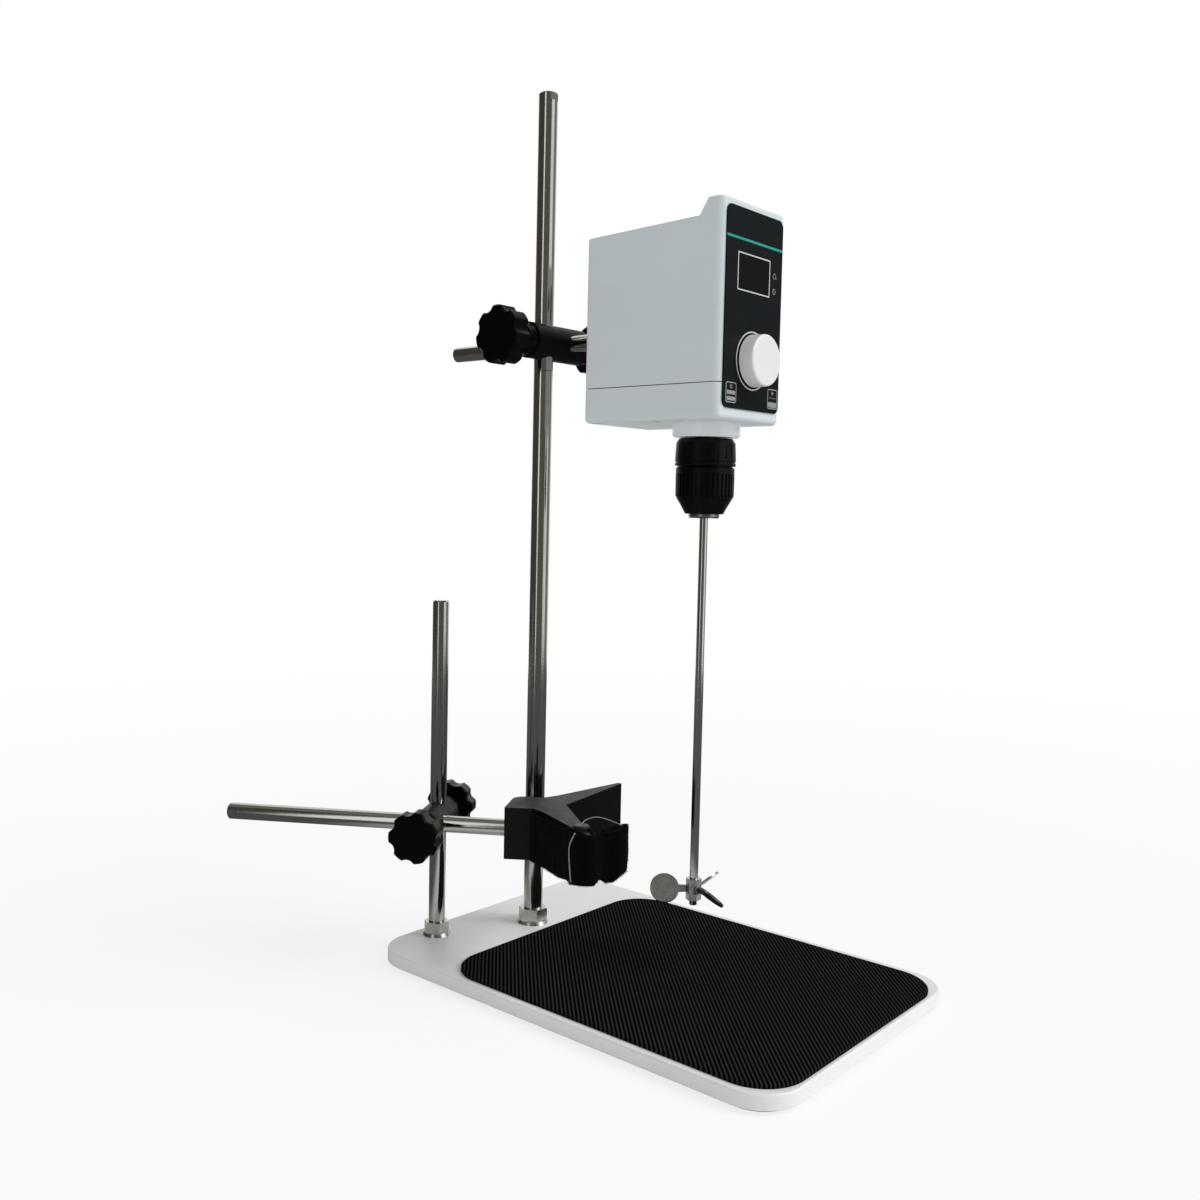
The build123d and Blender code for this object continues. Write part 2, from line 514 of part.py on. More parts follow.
knob_back = HEAD_FRONT - PANEL_T - KNOB_GAP
knob_front = knob_back - KNOB_L
with BuildPart() as encoder_shaft:
    with BuildSketch(encoder_plane.offset(3)):
        Circle(ENCODER_SHAFT_R)
    extrude(amount=BOARD_FACE_Y - 3 - knob_front - KNOB_FACE_T - 0.1)
    chamfer(encoder_shaft.edges().filter_by(GeomType.CIRCLE), 0.4)
save(encoder_shaft, "encoder_shaft")

knob_plane = Plane(origin=(HEAD_X, knob_back, KNOB_Z), x_dir=(1, 0, 0), z_dir=(0, -1, 0))
with BuildPart() as control_knob:
    with BuildSketch(knob_plane):
        Circle(KNOB_D / 2)
    extrude(amount=KNOB_L, taper=1.5)
    fillet(control_knob.faces().sort_by(Axis.Y)[0].edges(), 1.2)
    with BuildSketch(knob_plane):
        Circle(KNOB_D / 2 - KNOB_WALL)
    extrude(amount=KNOB_L - KNOB_FACE_T, mode=Mode.SUBTRACT)
    with BuildSketch(knob_plane.offset(1.5)):
        Circle(KNOB_CORE_R)
    extrude(amount=KNOB_L - KNOB_FACE_T)
    with BuildSketch(knob_plane):
        Circle(ENCODER_SHAFT_R + RUN)
    extrude(amount=KNOB_L - KNOB_FACE_T, mode=Mode.SUBTRACT)
save(control_knob, "control_knob")

# ---------------------------------------------------------------- rear switch and power inlet
switch_plane = Plane(origin=(HEAD_X + SOCKET_X, HEAD_BACK, SOCKET_Z), x_dir=(-1, 0, 0), z_dir=(0, 1, 0))
WELL_W, WELL_H = SWITCH_W - 0.2 - 2 * SWITCH_WALL, SWITCH_H - 0.2 - 2 * SWITCH_WALL
ROCKER_IN, ROCKER_HALF = 2.0, WELL_H / 2 - 0.9        # depth of the pivot, half height of the rocker
with BuildPart() as switch_frame:
    with BuildSketch(switch_plane):
        RectangleRounded(SWITCH_W + 2 * SWITCH_FLANGE, SWITCH_H + 2 * SWITCH_FLANGE, 1.2)
        Rectangle(WELL_W, WELL_H, mode=Mode.SUBTRACT)
    extrude(amount=1.8)
    with BuildSketch(switch_plane):
        Rectangle(SWITCH_W - 0.2, SWITCH_H - 0.2)
        Rectangle(WELL_W, WELL_H, mode=Mode.SUBTRACT)
    extrude(amount=-SWITCH_DEPTH)
    with BuildSketch(switch_plane.offset(-SWITCH_DEPTH)):
        Rectangle(SWITCH_W - 0.2, SWITCH_H - 0.2)
    extrude(amount=-2)
    pivot_plane = Plane(origin=switch_plane.origin - Vector(0, ROCKER_IN, 0), x_dir=(0, 1, 0), z_dir=(1, 0, 0))
    with BuildSketch(pivot_plane):
        Circle(TRUNNION_R + RUN)
    extrude(amount=WELL_W / 2 + 0.75, both=True, mode=Mode.SUBTRACT)
save(switch_frame, "switch_frame")

with BuildPart() as power_rocker:
    with BuildSketch(pivot_plane):
        with BuildLine():
            Polyline((-4, -2.5), (2.6, -ROCKER_HALF), (2.0, 0), (4.6, ROCKER_HALF - 0.4),
                     (1.0, ROCKER_HALF), (-4, 2.5), close=True)
        make_face()
    extrude(amount=WELL_W / 2 - 0.4, both=True)
    with BuildSketch(pivot_plane):
        Circle(TRUNNION_R)
    extrude(amount=WELL_W / 2 + 0.7, both=True)
save(power_rocker, "power_rocker")

jack_plane = Plane(origin=(HEAD_X - SOCKET_X, HEAD_BACK, SOCKET_Z), x_dir=(-1, 0, 0), z_dir=(0, 1, 0))
with BuildPart() as dc_jack:
    with BuildSketch(jack_plane):
        Circle(JACK_R + 2.2)
    extrude(amount=2.0)
    chamfer(dc_jack.faces().sort_by(Axis.Y)[-1].edges(), 0.5)
    with BuildSketch(jack_plane):
        Circle(JACK_R)
    extrude(amount=-13)
    with BuildSketch(jack_plane.offset(2.0)):
        Circle(JACK_BORE_R)
        Circle(JACK_PIN_R, mode=Mode.SUBTRACT)
    extrude(amount=-11, mode=Mode.SUBTRACT)
save(dc_jack, "dc_jack")


# ---------------------------------------------------------------- drive train
def spur_gear(plane, teeth, bore_r, phase):
    """Spur gear with straight-flanked teeth, a little thinner than the gaps they run in."""
    pitch_r = GEAR_MODULE * teeth / 2
    root_r, tip_r = pitch_r - 1.2 * GEAR_MODULE, pitch_r + 0.95 * GEAR_MODULE
    pitch_half = TOOTH_HALF * GEAR_MODULE
    slope = tan(radians(20))
    foot, head = pitch_half + 1.2 * slope, pitch_half - 0.95 * slope
    with BuildLine() as flanks:
        Polyline((root_r - 0.3, -foot), (tip_r, -head), (tip_r, head), (root_r - 0.3, foot), close=True)
    tooth = make_face(flanks.line, mode=Mode.PRIVATE)
    with BuildPart() as gear:
        with BuildSketch(plane.offset(GEAR_Z)):
            Circle(root_r)
            with PolarLocations(0, teeth, start_angle=phase):
                add(tooth)
            Circle(bore_r, mode=Mode.SUBTRACT)
        extrude(amount=GEAR_T)
    return gear


with BuildPart() as bearing_bridge:
    with BuildSketch(Plane(origin=(HEAD_X, 0.5, BRIDGE_Z))) as bridge_outline:
        Rectangle(BRIDGE_W, BRIDGE_L)
        fillet(bridge_outline.vertices(), 3)
    extrude(amount=BRIDGE_T)
    with BuildSketch(spindle_plane.offset(BRIDGE_Z)):
        Circle(BEARING_R)
    extrude(amount=BRIDGE_T, mode=Mode.SUBTRACT)
    with BuildSketch(motor_plane.offset(BRIDGE_Z)):
        Circle(6.0)
        with GridLocations(2 * MOTOR_SCREW_PITCH, 2 * MOTOR_SCREW_PITCH, 2, 2):
            Circle(SHELL_HOLE_R)
    extrude(amount=BRIDGE_T, mode=Mode.SUBTRACT)
    with BuildSketch(head_x_plane.offset(BRIDGE_Z)):
        with Locations(*bridge_post_spots):
            Circle(SHELL_HOLE_R)
    extrude(amount=BRIDGE_T, mode=Mode.SUBTRACT)
save(bearing_bridge, "bearing_bridge")


def ball_bearing(plane, start):
    """Deep-groove bearing 8 x 22 x 7 with recessed shields, drawn as one piece."""
    end = start + BEARING_T
    outline = [(SPINDLE_R, start), (INNER_RACE_R, start), (INNER_RACE_R, start + SHIELD_RECESS),
               (OUTER_RACE_R, start + SHIELD_RECESS), (OUTER_RACE_R, start), (BEARING_R, start),
               (BEARING_R, end), (OUTER_RACE_R, end), (OUTER_RACE_R, end - SHIELD_RECESS),
               (INNER_RACE_R, end - SHIELD_RECESS), (INNER_RACE_R, end), (SPINDLE_R, end)]
    with BuildPart() as bearing:
        revolve(half_section(plane, outline), axis=upright(plane))
    return bearing


save(ball_bearing(spindle_plane, BRIDGE_Z), "upper_bearing")
LOWER_BEARING_Z = COLLAR_BOTTOM + 3.0
save(ball_bearing(spindle_plane, LOWER_BEARING_Z), "lower_bearing")

with BuildPart() as bearing_collar:
    spigot_top = HEAD_BOTTOM + WALL
    outline = [(COLLAR_BORE_R, COLLAR_BOTTOM), (COLLAR_R - 1.2, COLLAR_BOTTOM), (COLLAR_R, COLLAR_BOTTOM + 1.2),
               (COLLAR_R, HEAD_BOTTOM), (COLLAR_SPIGOT_R, HEAD_BOTTOM), (COLLAR_SPIGOT_R, spigot_top),
               (BEARING_R, spigot_top), (BEARING_R, LOWER_BEARING_Z), (COLLAR_BORE_R, LOWER_BEARING_Z)]
    revolve(half_section(spindle_plane, outline), axis=upright(spindle_plane))
save(bearing_collar, "bearing_collar")

SPINDLE_BOTTOM, SPINDLE_TOP, CIRCLIP_GROOVE = 301.0, 350.0, 0.5
clip_z = BRIDGE_Z + BRIDGE_T
with BuildPart() as spindle:
    outline = [(0, SPINDLE_BOTTOM), (SPINDLE_R, SPINDLE_BOTTOM), (SPINDLE_R, CHUCK_TOP), (INNER_RACE_R, CHUCK_TOP),
               (INNER_RACE_R, LOWER_BEARING_Z), (SPINDLE_R, LOWER_BEARING_Z), (SPINDLE_R, clip_z),
               (SPINDLE_R - CIRCLIP_GROOVE, clip_z), (SPINDLE_R - CIRCLIP_GROOVE, clip_z + CLIP_T),
               (SPINDLE_R, clip_z + CLIP_T), (SPINDLE_R, SPINDLE_TOP), (0, SPINDLE_TOP)]
    revolve(half_section(spindle_plane, outline), axis=upright(spindle_plane))
save(spindle, "spindle")

with BuildPart() as spindle_circlip:
    with BuildSketch(spindle_plane.offset(clip_z)):
        Circle(CLIP_R)
        Circle(SPINDLE_R - CIRCLIP_GROOVE, mode=Mode.SUBTRACT)
        with Locations((0, -5)):
            Rectangle(2.5, 6, mode=Mode.SUBTRACT)
    extrude(amount=CLIP_T)
save(spindle_circlip, "spindle_circlip")

save(spur_gear(spindle_plane, GEAR_TEETH, SPINDLE_R, 90), "spindle_gear")
save(spur_gear(motor_plane, PINION_TEETH, MOTOR_SHAFT_R, 270 + 180 / PINION_TEETH), "motor_pinion")

with BuildPart() as motor:
    motor_bottom = BRIDGE_Z + BRIDGE_T
    outline = [(MOTOR_SHAFT_R + RUN, motor_bottom), (MOTOR_R, motor_bottom),
               (MOTOR_R, motor_bottom + MOTOR_L - 2), (MOTOR_R - 2, motor_bottom + MOTOR_L),
               (0, motor_bottom + MOTOR_L), (0, motor_bottom + MOTOR_L - 4),
               (MOTOR_SHAFT_R + RUN, motor_bottom + MOTOR_L - 4)]
    revolve(half_section(motor_plane, outline), axis=upright(motor_plane))
    with BuildSketch(motor_plane.offset(motor_bottom)):
        with GridLocations(2 * MOTOR_SCREW_PITCH, 2 * MOTOR_SCREW_PITCH, 2, 2):
            Circle(MACHINE_SCREW_R)
    extrude(amount=6, mode=Mode.SUBTRACT)
save(motor, "motor")

with BuildPart() as motor_shaft:
    with BuildSketch(motor_plane.offset(GEAR_Z - 1)):
        Circle(MOTOR_SHAFT_R)
    extrude(amount=motor_bottom + MOTOR_L - 5 - GEAR_Z)
    chamfer(motor_shaft.edges().sort_by(Axis.Z)[0], 0.4)
save(motor_shaft, "motor_shaft")

motor_screw_spots = [(x, MOTOR_Y + y) for x in (-MOTOR_SCREW_PITCH, MOTOR_SCREW_PITCH)
                     for y in (-MOTOR_SCREW_PITCH, MOTOR_SCREW_PITCH)]
with BuildPart() as gearbox_screws:
    for spots, seat_z, way in ((bridge_post_spots, BRIDGE_Z + BRIDGE_T, 1), (motor_screw_spots, BRIDGE_Z, -1)):
        with BuildSketch(head_x_plane.offset(seat_z)):
            with Locations(*spots):
                Circle(SCREW_HEAD_R)
        extrude(amount=MACHINE_HEAD_T * way)
        with BuildSketch(head_x_plane.offset(seat_z)):
            with Locations(*spots):
                Circle(MACHINE_SCREW_R)
        extrude(amount=-MACHINE_SCREW_L * way)
save(gearbox_screws, "gearbox_screws")


# ---------------------------------------------------------------- keyless chuck
def jaw_plane(turn):
    """Plane across a jaw's axis at the chuck nose, its normal leaning outwards as it rises."""
    outward = Vector(cos(radians(turn)), sin(radians(turn)), 0)
    foot = Vector(HEAD_X, SPINDLE_Y, CHUCK_NOSE_Z) + outward * JAW_TIP_R
    lean = outward * sin(radians(JAW_TILT)) + Vector(0, 0, cos(radians(JAW_TILT)))
    return Plane(origin=foot, x_dir=Vector(-outward.Y, outward.X, 0), z_dir=lean)


jaw_turns = [90, 210, 330]
BODY_R, BODY_NECK_R, BODY_SHOULDER_Z, BODY_BORE_R = 12.0, 10.0, 308.0, 3.2
nut_r = FRONT_SLEEVE_R - 2.0
nut_seat_r = JAW_TIP_R + (CHUCK_NUT_Z - CHUCK_NOSE_Z) * tan(radians(JAW_TILT)) + 2.9

with BuildPart() as chuck_body:
    outline = [(0, SPINDLE_BOTTOM - 2), (BODY_BORE_R, SPINDLE_BOTTOM - 4), (BODY_BORE_R, CHUCK_NOSE_Z),
               (NOSE_R - 0.8, CHUCK_NOSE_Z), (NOSE_R, CHUCK_NOSE_Z + 0.8), (NOSE_R, CHUCK_TIP_Z + 2),
               (BODY_R, CHUCK_RIB_END), (BODY_R, CHUCK_NUT_Z - 0.1), (nut_seat_r, CHUCK_NUT_Z - 0.1),
               (nut_seat_r, CHUCK_NUT_Z + CHUCK_NUT_T + 0.1), (BODY_R, CHUCK_NUT_Z + CHUCK_NUT_T + 0.1),
               (BODY_R, BODY_SHOULDER_Z), (BODY_NECK_R, BODY_SHOULDER_Z), (BODY_NECK_R, CHUCK_TOP),
               (SPINDLE_R, CHUCK_TOP), (SPINDLE_R, SPINDLE_BOTTOM), (0, SPINDLE_BOTTOM)]
    revolve(half_section(spindle_plane, outline), axis=upright(spindle_plane))
    for turn in jaw_turns:
        with BuildSketch(jaw_plane(turn).offset(-2)):
            Circle(JAW_R + RUN)
        extrude(amount=JAW_L + 12, mode=Mode.SUBTRACT)
save(chuck_body, "chuck_body")

for number, turn in enumerate(jaw_turns, start=1):
    with BuildPart() as jaw:
        with BuildSketch(jaw_plane(turn).offset(-1)):
            Circle(JAW_R)
        extrude(amount=JAW_L + 1)
        with BuildSketch(spindle_plane.offset(CHUCK_NOSE_Z - 5)):
            Circle(20)
        extrude(amount=5.6, mode=Mode.SUBTRACT)
        with BuildSketch(spindle_plane.offset(CHUCK_NOSE_Z)):
            Circle(SHAFT_R + 0.04)
        extrude(amount=JAW_L, mode=Mode.SUBTRACT)
    save(jaw, f"chuck_jaw_{number}")

with BuildPart() as chuck_nut:
    inner = nut_seat_r + RUN
    rise = CHUCK_NUT_T * tan(radians(JAW_TILT))
    outline = [(inner, CHUCK_NUT_Z), (nut_r, CHUCK_NUT_Z), (nut_r, CHUCK_NUT_Z + CHUCK_NUT_T),
               (inner + rise + 0.2, CHUCK_NUT_Z + CHUCK_NUT_T)]
    revolve(half_section(spindle_plane, outline), axis=upright(spindle_plane))
    with BuildSketch(spindle_plane.offset(CHUCK_NUT_Z)):
        Rectangle(2 * nut_r + 2, 0.5)
    extrude(amount=CHUCK_NUT_T, mode=Mode.SUBTRACT)
save(chuck_nut, "chuck_nut")

def flutes(start, radius, count, width, depth):
    """Plan of the upright flutes around a sleeve, at the height where they start."""
    with BuildSketch(spindle_plane.offset(start)) as plan:
        with PolarLocations(radius, count):
            Rectangle(2 * depth, width)
    return plan.sketch


sleeve_bore = BODY_R + 0.3
with BuildPart() as chuck_front_sleeve:
    mouth = CHUCK_GROOVE_Z - 0.6
    mouth_step = CHUCK_NUT_Z + CHUCK_NUT_T + 0.4
    outline = [(NOSE_R + 0.25, CHUCK_TIP_Z), (SLEEVE_TIP_R - 0.6, CHUCK_TIP_Z),
               (SLEEVE_TIP_R, CHUCK_TIP_Z + 0.6), (FRONT_SLEEVE_R - 2.9, CHUCK_RIB_END - 4.6),
               (FRONT_SLEEVE_R - 1.2, CHUCK_RIB_END - 1.9), (FRONT_SLEEVE_R, CHUCK_RIB_END + 0.6),
               (FRONT_SLEEVE_R, CHUCK_GROOVE_Z - 1.6), (FRONT_SLEEVE_R - 0.8, mouth),
               (SKIRT_R + 0.2, mouth), (SKIRT_R + 0.2, mouth_step), (nut_r, mouth_step), (nut_r, CHUCK_NUT_Z),
               (sleeve_bore, CHUCK_NUT_Z), (sleeve_bore, CHUCK_RIB_END), (NOSE_R + 0.25, CHUCK_TIP_Z + 2)]
    revolve(half_section(spindle_plane, outline), axis=upright(spindle_plane))
    flute_start, flute_end = CHUCK_TIP_Z + 2, CHUCK_GROOVE_Z - 4.5
    extrude(flutes(flute_start, FRONT_SLEEVE_R, FRONT_FLUTES, FRONT_FLUTE_W, FRONT_FLUTE_DEPTH),
            amount=flute_end - flute_start, mode=Mode.SUBTRACT)
save(chuck_front_sleeve, "chuck_front_sleeve")

with BuildPart() as chuck_rear_sleeve:
    bell_r = REAR_SLEEVE_R - 2.0
    groove_top, groove_bottom, groove_depth = CHUCK_GROOVE_Z + 2.4, CHUCK_GROOVE_Z + 1.6, 0.4
    outline = [(BODY_NECK_R, CHUCK_TOP - 3), (BODY_NECK_R, CHUCK_TOP), (REAR_SLEEVE_R - 2.3, CHUCK_TOP),
               (REAR_SLEEVE_R - 0.6, CHUCK_TOP - 2.4), (REAR_SLEEVE_R, groove_top + 0.4),
               (REAR_SLEEVE_R - groove_depth, groove_top), (REAR_SLEEVE_R - groove_depth, groove_bottom),
               (REAR_SLEEVE_R, groove_bottom - 0.4), (REAR_SLEEVE_R, CHUCK_GROOVE_Z + 0.4),
               (REAR_SLEEVE_R - 0.4, CHUCK_GROOVE_Z), (SKIRT_R, CHUCK_GROOVE_Z),
               (SKIRT_R, CHUCK_GROOVE_Z - SKIRT_L), (SKIRT_BORE_R, CHUCK_GROOVE_Z - SKIRT_L),
               (SKIRT_BORE_R, CHUCK_GROOVE_Z + 1.0), (bell_r, CHUCK_GROOVE_Z + 3.0), (bell_r, CHUCK_TOP - 3)]
    revolve(half_section(spindle_plane, outline), axis=upright(spindle_plane))
    flute_start, flute_end = groove_top + 1.4, CHUCK_TOP - 2.8
    extrude(flutes(flute_start, REAR_SLEEVE_R - 0.2, REAR_FLUTES, REAR_FLUTE_W, REAR_FLUTE_DEPTH),
            amount=flute_end - flute_start, mode=Mode.SUBTRACT)
save(chuck_rear_sleeve, "chuck_rear_sleeve")

# ---------------------------------------------------------------- stirring shaft and propeller
with BuildPart() as stirring_shaft:
    with BuildSketch(spindle_plane.offset(SHAFT_BOTTOM)):
        Circle(SHAFT_R)
    extrude(amount=SHAFT_TOP - SHAFT_BOTTOM)
    chamfer(stirring_shaft.edges().filter_by(GeomType.CIRCLE), 0.5)
save(stirring_shaft, "stirring_shaft")

with BuildPart() as propeller:
    with BuildSketch(spindle_plane.offset(PROP_Z - PROP_HUB_H / 2)):
        Circle(PROP_HUB_R)
    extrude(amount=PROP_HUB_H)
    for blade in range(BLADES):
        turn = FIRST_BLADE_TURN + blade * 360 / BLADES
        radial = Vector(cos(radians(turn)), sin(radians(turn)), 0)
        sideways = Vector(-radial.Y, radial.X, 0)
        pitched = sideways * cos(radians(BLADE_PITCH)) + Vector(0, 0, sin(radians(BLADE_PITCH)))
        blade_plane = Plane(origin=Vector(HEAD_X, SPINDLE_Y, PROP_Z), x_dir=radial,
                            z_dir=radial.cross(pitched))
        with BuildSketch(blade_plane):
            with Locations((PROP_R - BLADE_R, 0)):
                Ellipse(BLADE_R, BLADE_CHORD_R)
            with BuildLine():
                Polyline((PROP_HUB_R - 1.5, -1.9), (PROP_R - 1.7 * BLADE_R, -2.3),
                         (PROP_R - 1.7 * BLADE_R, 2.3), (PROP_HUB_R - 1.5, 1.9), close=True)
            make_face()
        extrude(amount=BLADE_T / 2, both=True)
    with BuildSketch(spindle_plane.offset(PROP_Z - PROP_HUB_H)):
        Circle(SHAFT_R)
    extrude(amount=2 * PROP_HUB_H, mode=Mode.SUBTRACT)
save(propeller, "propeller")

with BuildPart() as propeller_nuts:
    for foot in (PROP_Z + PROP_HUB_H / 2, PROP_Z - PROP_HUB_H / 2 - PROP_NUT_H):
        with BuildSketch(spindle_plane.offset(foot)):
            RegularPolygon(PROP_NUT_AF / 2 / cos(radians(30)), 6)
            Circle(SHAFT_R, mode=Mode.SUBTRACT)
        extrude(amount=PROP_NUT_H)
save(propeller_nuts, "propeller_nuts")

# ---------------------------------------------------------------- clamp rod and V-shaped vessel clamp
with BuildPart() as clamp_rod:
    with BuildSketch(Plane(origin=clamp_rod_centre + rod_dir * CLAMP_ROD_BACK, z_dir=rod_dir)):
        Circle(ROD_R)
    extrude(amount=CLAMP_ROD_L)
    chamfer(clamp_rod.edges().filter_by(GeomType.CIRCLE), COLUMN_EDGE)
save(clamp_rod, "clamp_rod")

socket_mouth = clamp_rod_centre + rod_dir * CLAMP_BACK
vee_outline = [(0, -CLAMP_HALF_W), (17, -CLAMP_HALF_W + 1), (25, -21), (CLAMP_TIP_U - 1.5, -CLAMP_TIP_V),
               (CLAMP_TIP_U + 1, -CLAMP_TIP_V + 1), (CLAMP_APEX, 0), (CLAMP_TIP_U + 1, CLAMP_TIP_V - 1),
               (CLAMP_TIP_U - 1.5, CLAMP_TIP_V), (25, 21), (17, CLAMP_HALF_W - 1), (0, CLAMP_HALF_W)]
vee_fillets = [(CLAMP_APEX, 0, 7), (17, CLAMP_HALF_W - 1, 5), (17, 1 - CLAMP_HALF_W, 5), (25, 21, 9), (25, -21, 9)]
PIN_U, PIN_V, PIN_R, PIN_HEAD_R, PIN_HEAD_H = 51.2, -51.0, 1.5, 4.5, 2.6
SET_SCREW_IN, SET_SCREW_L = 9.0, 9.0


def vee_sketch(height):
    """Plan of the vessel clamp: a square root that opens into two tapering arms."""
    level = clamp_plane.offset(height)
    with BuildSketch(level) as vee:
        with BuildLine():
            Polyline(*vee_outline, close=True)
        make_face()
        for u, v, radius in vee_fillets:
            fillet(vee.vertices().sort_by_distance(level.from_local_coords((u, v, 0)))[0], radius)
    return vee.sketch


with BuildPart() as vessel_clamp:
    extrude(vee_sketch(CLAMP_BOTTOM), amount=CLAMP_TOP - CLAMP_BOTTOM)
    with BuildSketch(Plane(origin=socket_mouth, z_dir=rod_dir)):
        Circle(ROD_R + RUN)
    extrude(amount=CLAMP_SOCKET, mode=Mode.SUBTRACT)
    with BuildSketch(Plane(origin=socket_mouth + rod_dir * SET_SCREW_IN)):
        Circle(SET_SCREW_R)
    extrude(amount=-20, mode=Mode.SUBTRACT)
    with BuildSketch(Plane(origin=clamp_plane.origin, x_dir=rod_dir, z_dir=-boss_dir)):
        with BuildLine():
            Polyline((CLAMP_APEX - 4, CLAMP_BOTTOM), (CLAMP_TIP_U + 4, CLAMP_BOTTOM - 1),
                     (CLAMP_TIP_U + 4, CLAMP_BOTTOM + CLAMP_TIP_RISE), close=True)
        make_face()
    extrude(amount=2 * CLAMP_TIP_V, both=True, mode=Mode.SUBTRACT)
    with BuildSketch(clamp_plane.offset(CLAMP_BOTTOM)):
        with Locations((PIN_U, PIN_V)):
            Circle(PIN_R)
    extrude(amount=CLAMP_TOP - CLAMP_BOTTOM, mode=Mode.SUBTRACT)
save(vessel_clamp, "vessel_clamp")

with BuildPart() as clamp_set_screw:
    set_screw_foot = Vector(0, 0, ROD_R + TIP_GAP + SET_SCREW_L)
    with BuildSketch(Plane(origin=socket_mouth + rod_dir * SET_SCREW_IN - set_screw_foot)):
        Circle(SET_SCREW_R)
    extrude(amount=SET_SCREW_L)
    chamfer(clamp_set_screw.edges().sort_by(Axis.Z)[-1], SET_SCREW_EDGE)
save(clamp_set_screw, "clamp_set_screw")

with BuildPart() as strap_pin:
    with BuildSketch(clamp_plane.offset(CLAMP_BOTTOM)):
        with Locations((PIN_U, PIN_V)):
            Circle(PIN_R)
    extrude(amount=CLAMP_TOP - CLAMP_BOTTOM)
    with BuildSketch(clamp_plane.offset(CLAMP_TOP)):
        with Locations((PIN_U, PIN_V)):
            Circle(PIN_HEAD_R)
    extrude(amount=PIN_HEAD_H)
    fillet(strap_pin.edges().sort_by(Axis.Z)[-1], 1.2)
save(strap_pin, "strap_pin")

with BuildPart() as vessel_strap:
    with BuildSketch(clamp_plane.offset(STRAP_BOTTOM)):
        for u, v, radius in STRAP_ROLLS:
            with Locations((u, v)):
                Circle(radius)
        with Locations((PIN_U, PIN_V)):
            Circle(PIN_HEAD_R + STRAP_CLEAR, mode=Mode.SUBTRACT)
    extrude(amount=STRAP_TOP - STRAP_BOTTOM)
    arm_and_gap = offset(vee_sketch(STRAP_BOTTOM), amount=STRAP_CLEAR, mode=Mode.PRIVATE)
    extrude(arm_and_gap, amount=STRAP_TOP - STRAP_BOTTOM, mode=Mode.SUBTRACT)
save(vessel_strap, "vessel_strap")
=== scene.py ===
"""Looks of the overhead stirrer: materials, panel graphics, strap, lights and camera, in metres."""

from math import atan2, cos, degrees, pi, radians, sin
from random import Random

import bmesh
import bpy
from mathutils import Matrix, Vector, noise


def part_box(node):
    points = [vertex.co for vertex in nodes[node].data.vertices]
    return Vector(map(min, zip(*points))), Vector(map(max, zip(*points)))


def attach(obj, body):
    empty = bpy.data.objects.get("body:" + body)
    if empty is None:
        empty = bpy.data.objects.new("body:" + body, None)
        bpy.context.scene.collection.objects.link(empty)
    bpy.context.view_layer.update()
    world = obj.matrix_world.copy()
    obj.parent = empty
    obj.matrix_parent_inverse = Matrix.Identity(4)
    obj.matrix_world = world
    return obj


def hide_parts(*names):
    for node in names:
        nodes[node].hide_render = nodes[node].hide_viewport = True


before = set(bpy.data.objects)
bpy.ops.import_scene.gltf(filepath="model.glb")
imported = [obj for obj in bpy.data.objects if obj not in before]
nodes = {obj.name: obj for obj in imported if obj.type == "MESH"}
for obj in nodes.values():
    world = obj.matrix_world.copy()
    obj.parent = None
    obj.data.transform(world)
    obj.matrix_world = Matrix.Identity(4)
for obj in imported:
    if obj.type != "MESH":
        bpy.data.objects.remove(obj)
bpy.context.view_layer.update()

# ---------------------------------------------------------------- places taken from the frame
PANEL_LOW, PANEL_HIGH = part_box("front_panel")
PANEL_FACE_Y = PANEL_LOW.y
HEAD_X = (PANEL_LOW.x + PANEL_HIGH.x) / 2
DISPLAY_LOW, DISPLAY_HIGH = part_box("display_window")
KNOB_LOW, KNOB_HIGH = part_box("control_knob")
KNOB_Z = (KNOB_LOW.z + KNOB_HIGH.z) / 2
CLAMP_TURN = radians(32.0)    # heading of the small boss from +X

# ---------------------------------------------------------------- camera
CAMERA_AT = Vector((-0.54214, -0.41115, 0.27542))
CAMERA_AZIMUTH, CAMERA_ELEVATION, CAMERA_ROLL = radians(-49.75), radians(3.66), radians(1.29)
FOCAL_PIXELS, FRAME_PIXELS = 1187.7, 1200.0
CENTRE_X, CENTRE_Y = 600.6, 583.5

back = Vector((sin(CAMERA_AZIMUTH) * cos(CAMERA_ELEVATION),
               -cos(CAMERA_AZIMUTH) * cos(CAMERA_ELEVATION), sin(CAMERA_ELEVATION)))
level = (-back).cross(Vector((0, 0, 1))).normalized()
upward = level.cross(-back)
right = level * cos(CAMERA_ROLL) + upward * sin(CAMERA_ROLL)
up = upward * cos(CAMERA_ROLL) - level * sin(CAMERA_ROLL)
camera = bpy.data.objects.new("camera", bpy.data.cameras.new("camera"))
bpy.context.scene.collection.objects.link(camera)
camera.matrix_world = Matrix((
    (right.x, up.x, back.x, CAMERA_AT.x),
    (right.y, up.y, back.y, CAMERA_AT.y),
    (right.z, up.z, back.z, CAMERA_AT.z),
    (0, 0, 0, 1)))
camera.data.sensor_width = 36.0
camera.data.lens = 36.0 * FOCAL_PIXELS / FRAME_PIXELS
camera.data.shift_x = (FRAME_PIXELS / 2 - CENTRE_X) / FRAME_PIXELS
camera.data.shift_y = (CENTRE_Y - FRAME_PIXELS / 2) / FRAME_PIXELS
camera.data.clip_start, camera.data.clip_end = 0.01, 50.0
bpy.context.scene.camera = camera


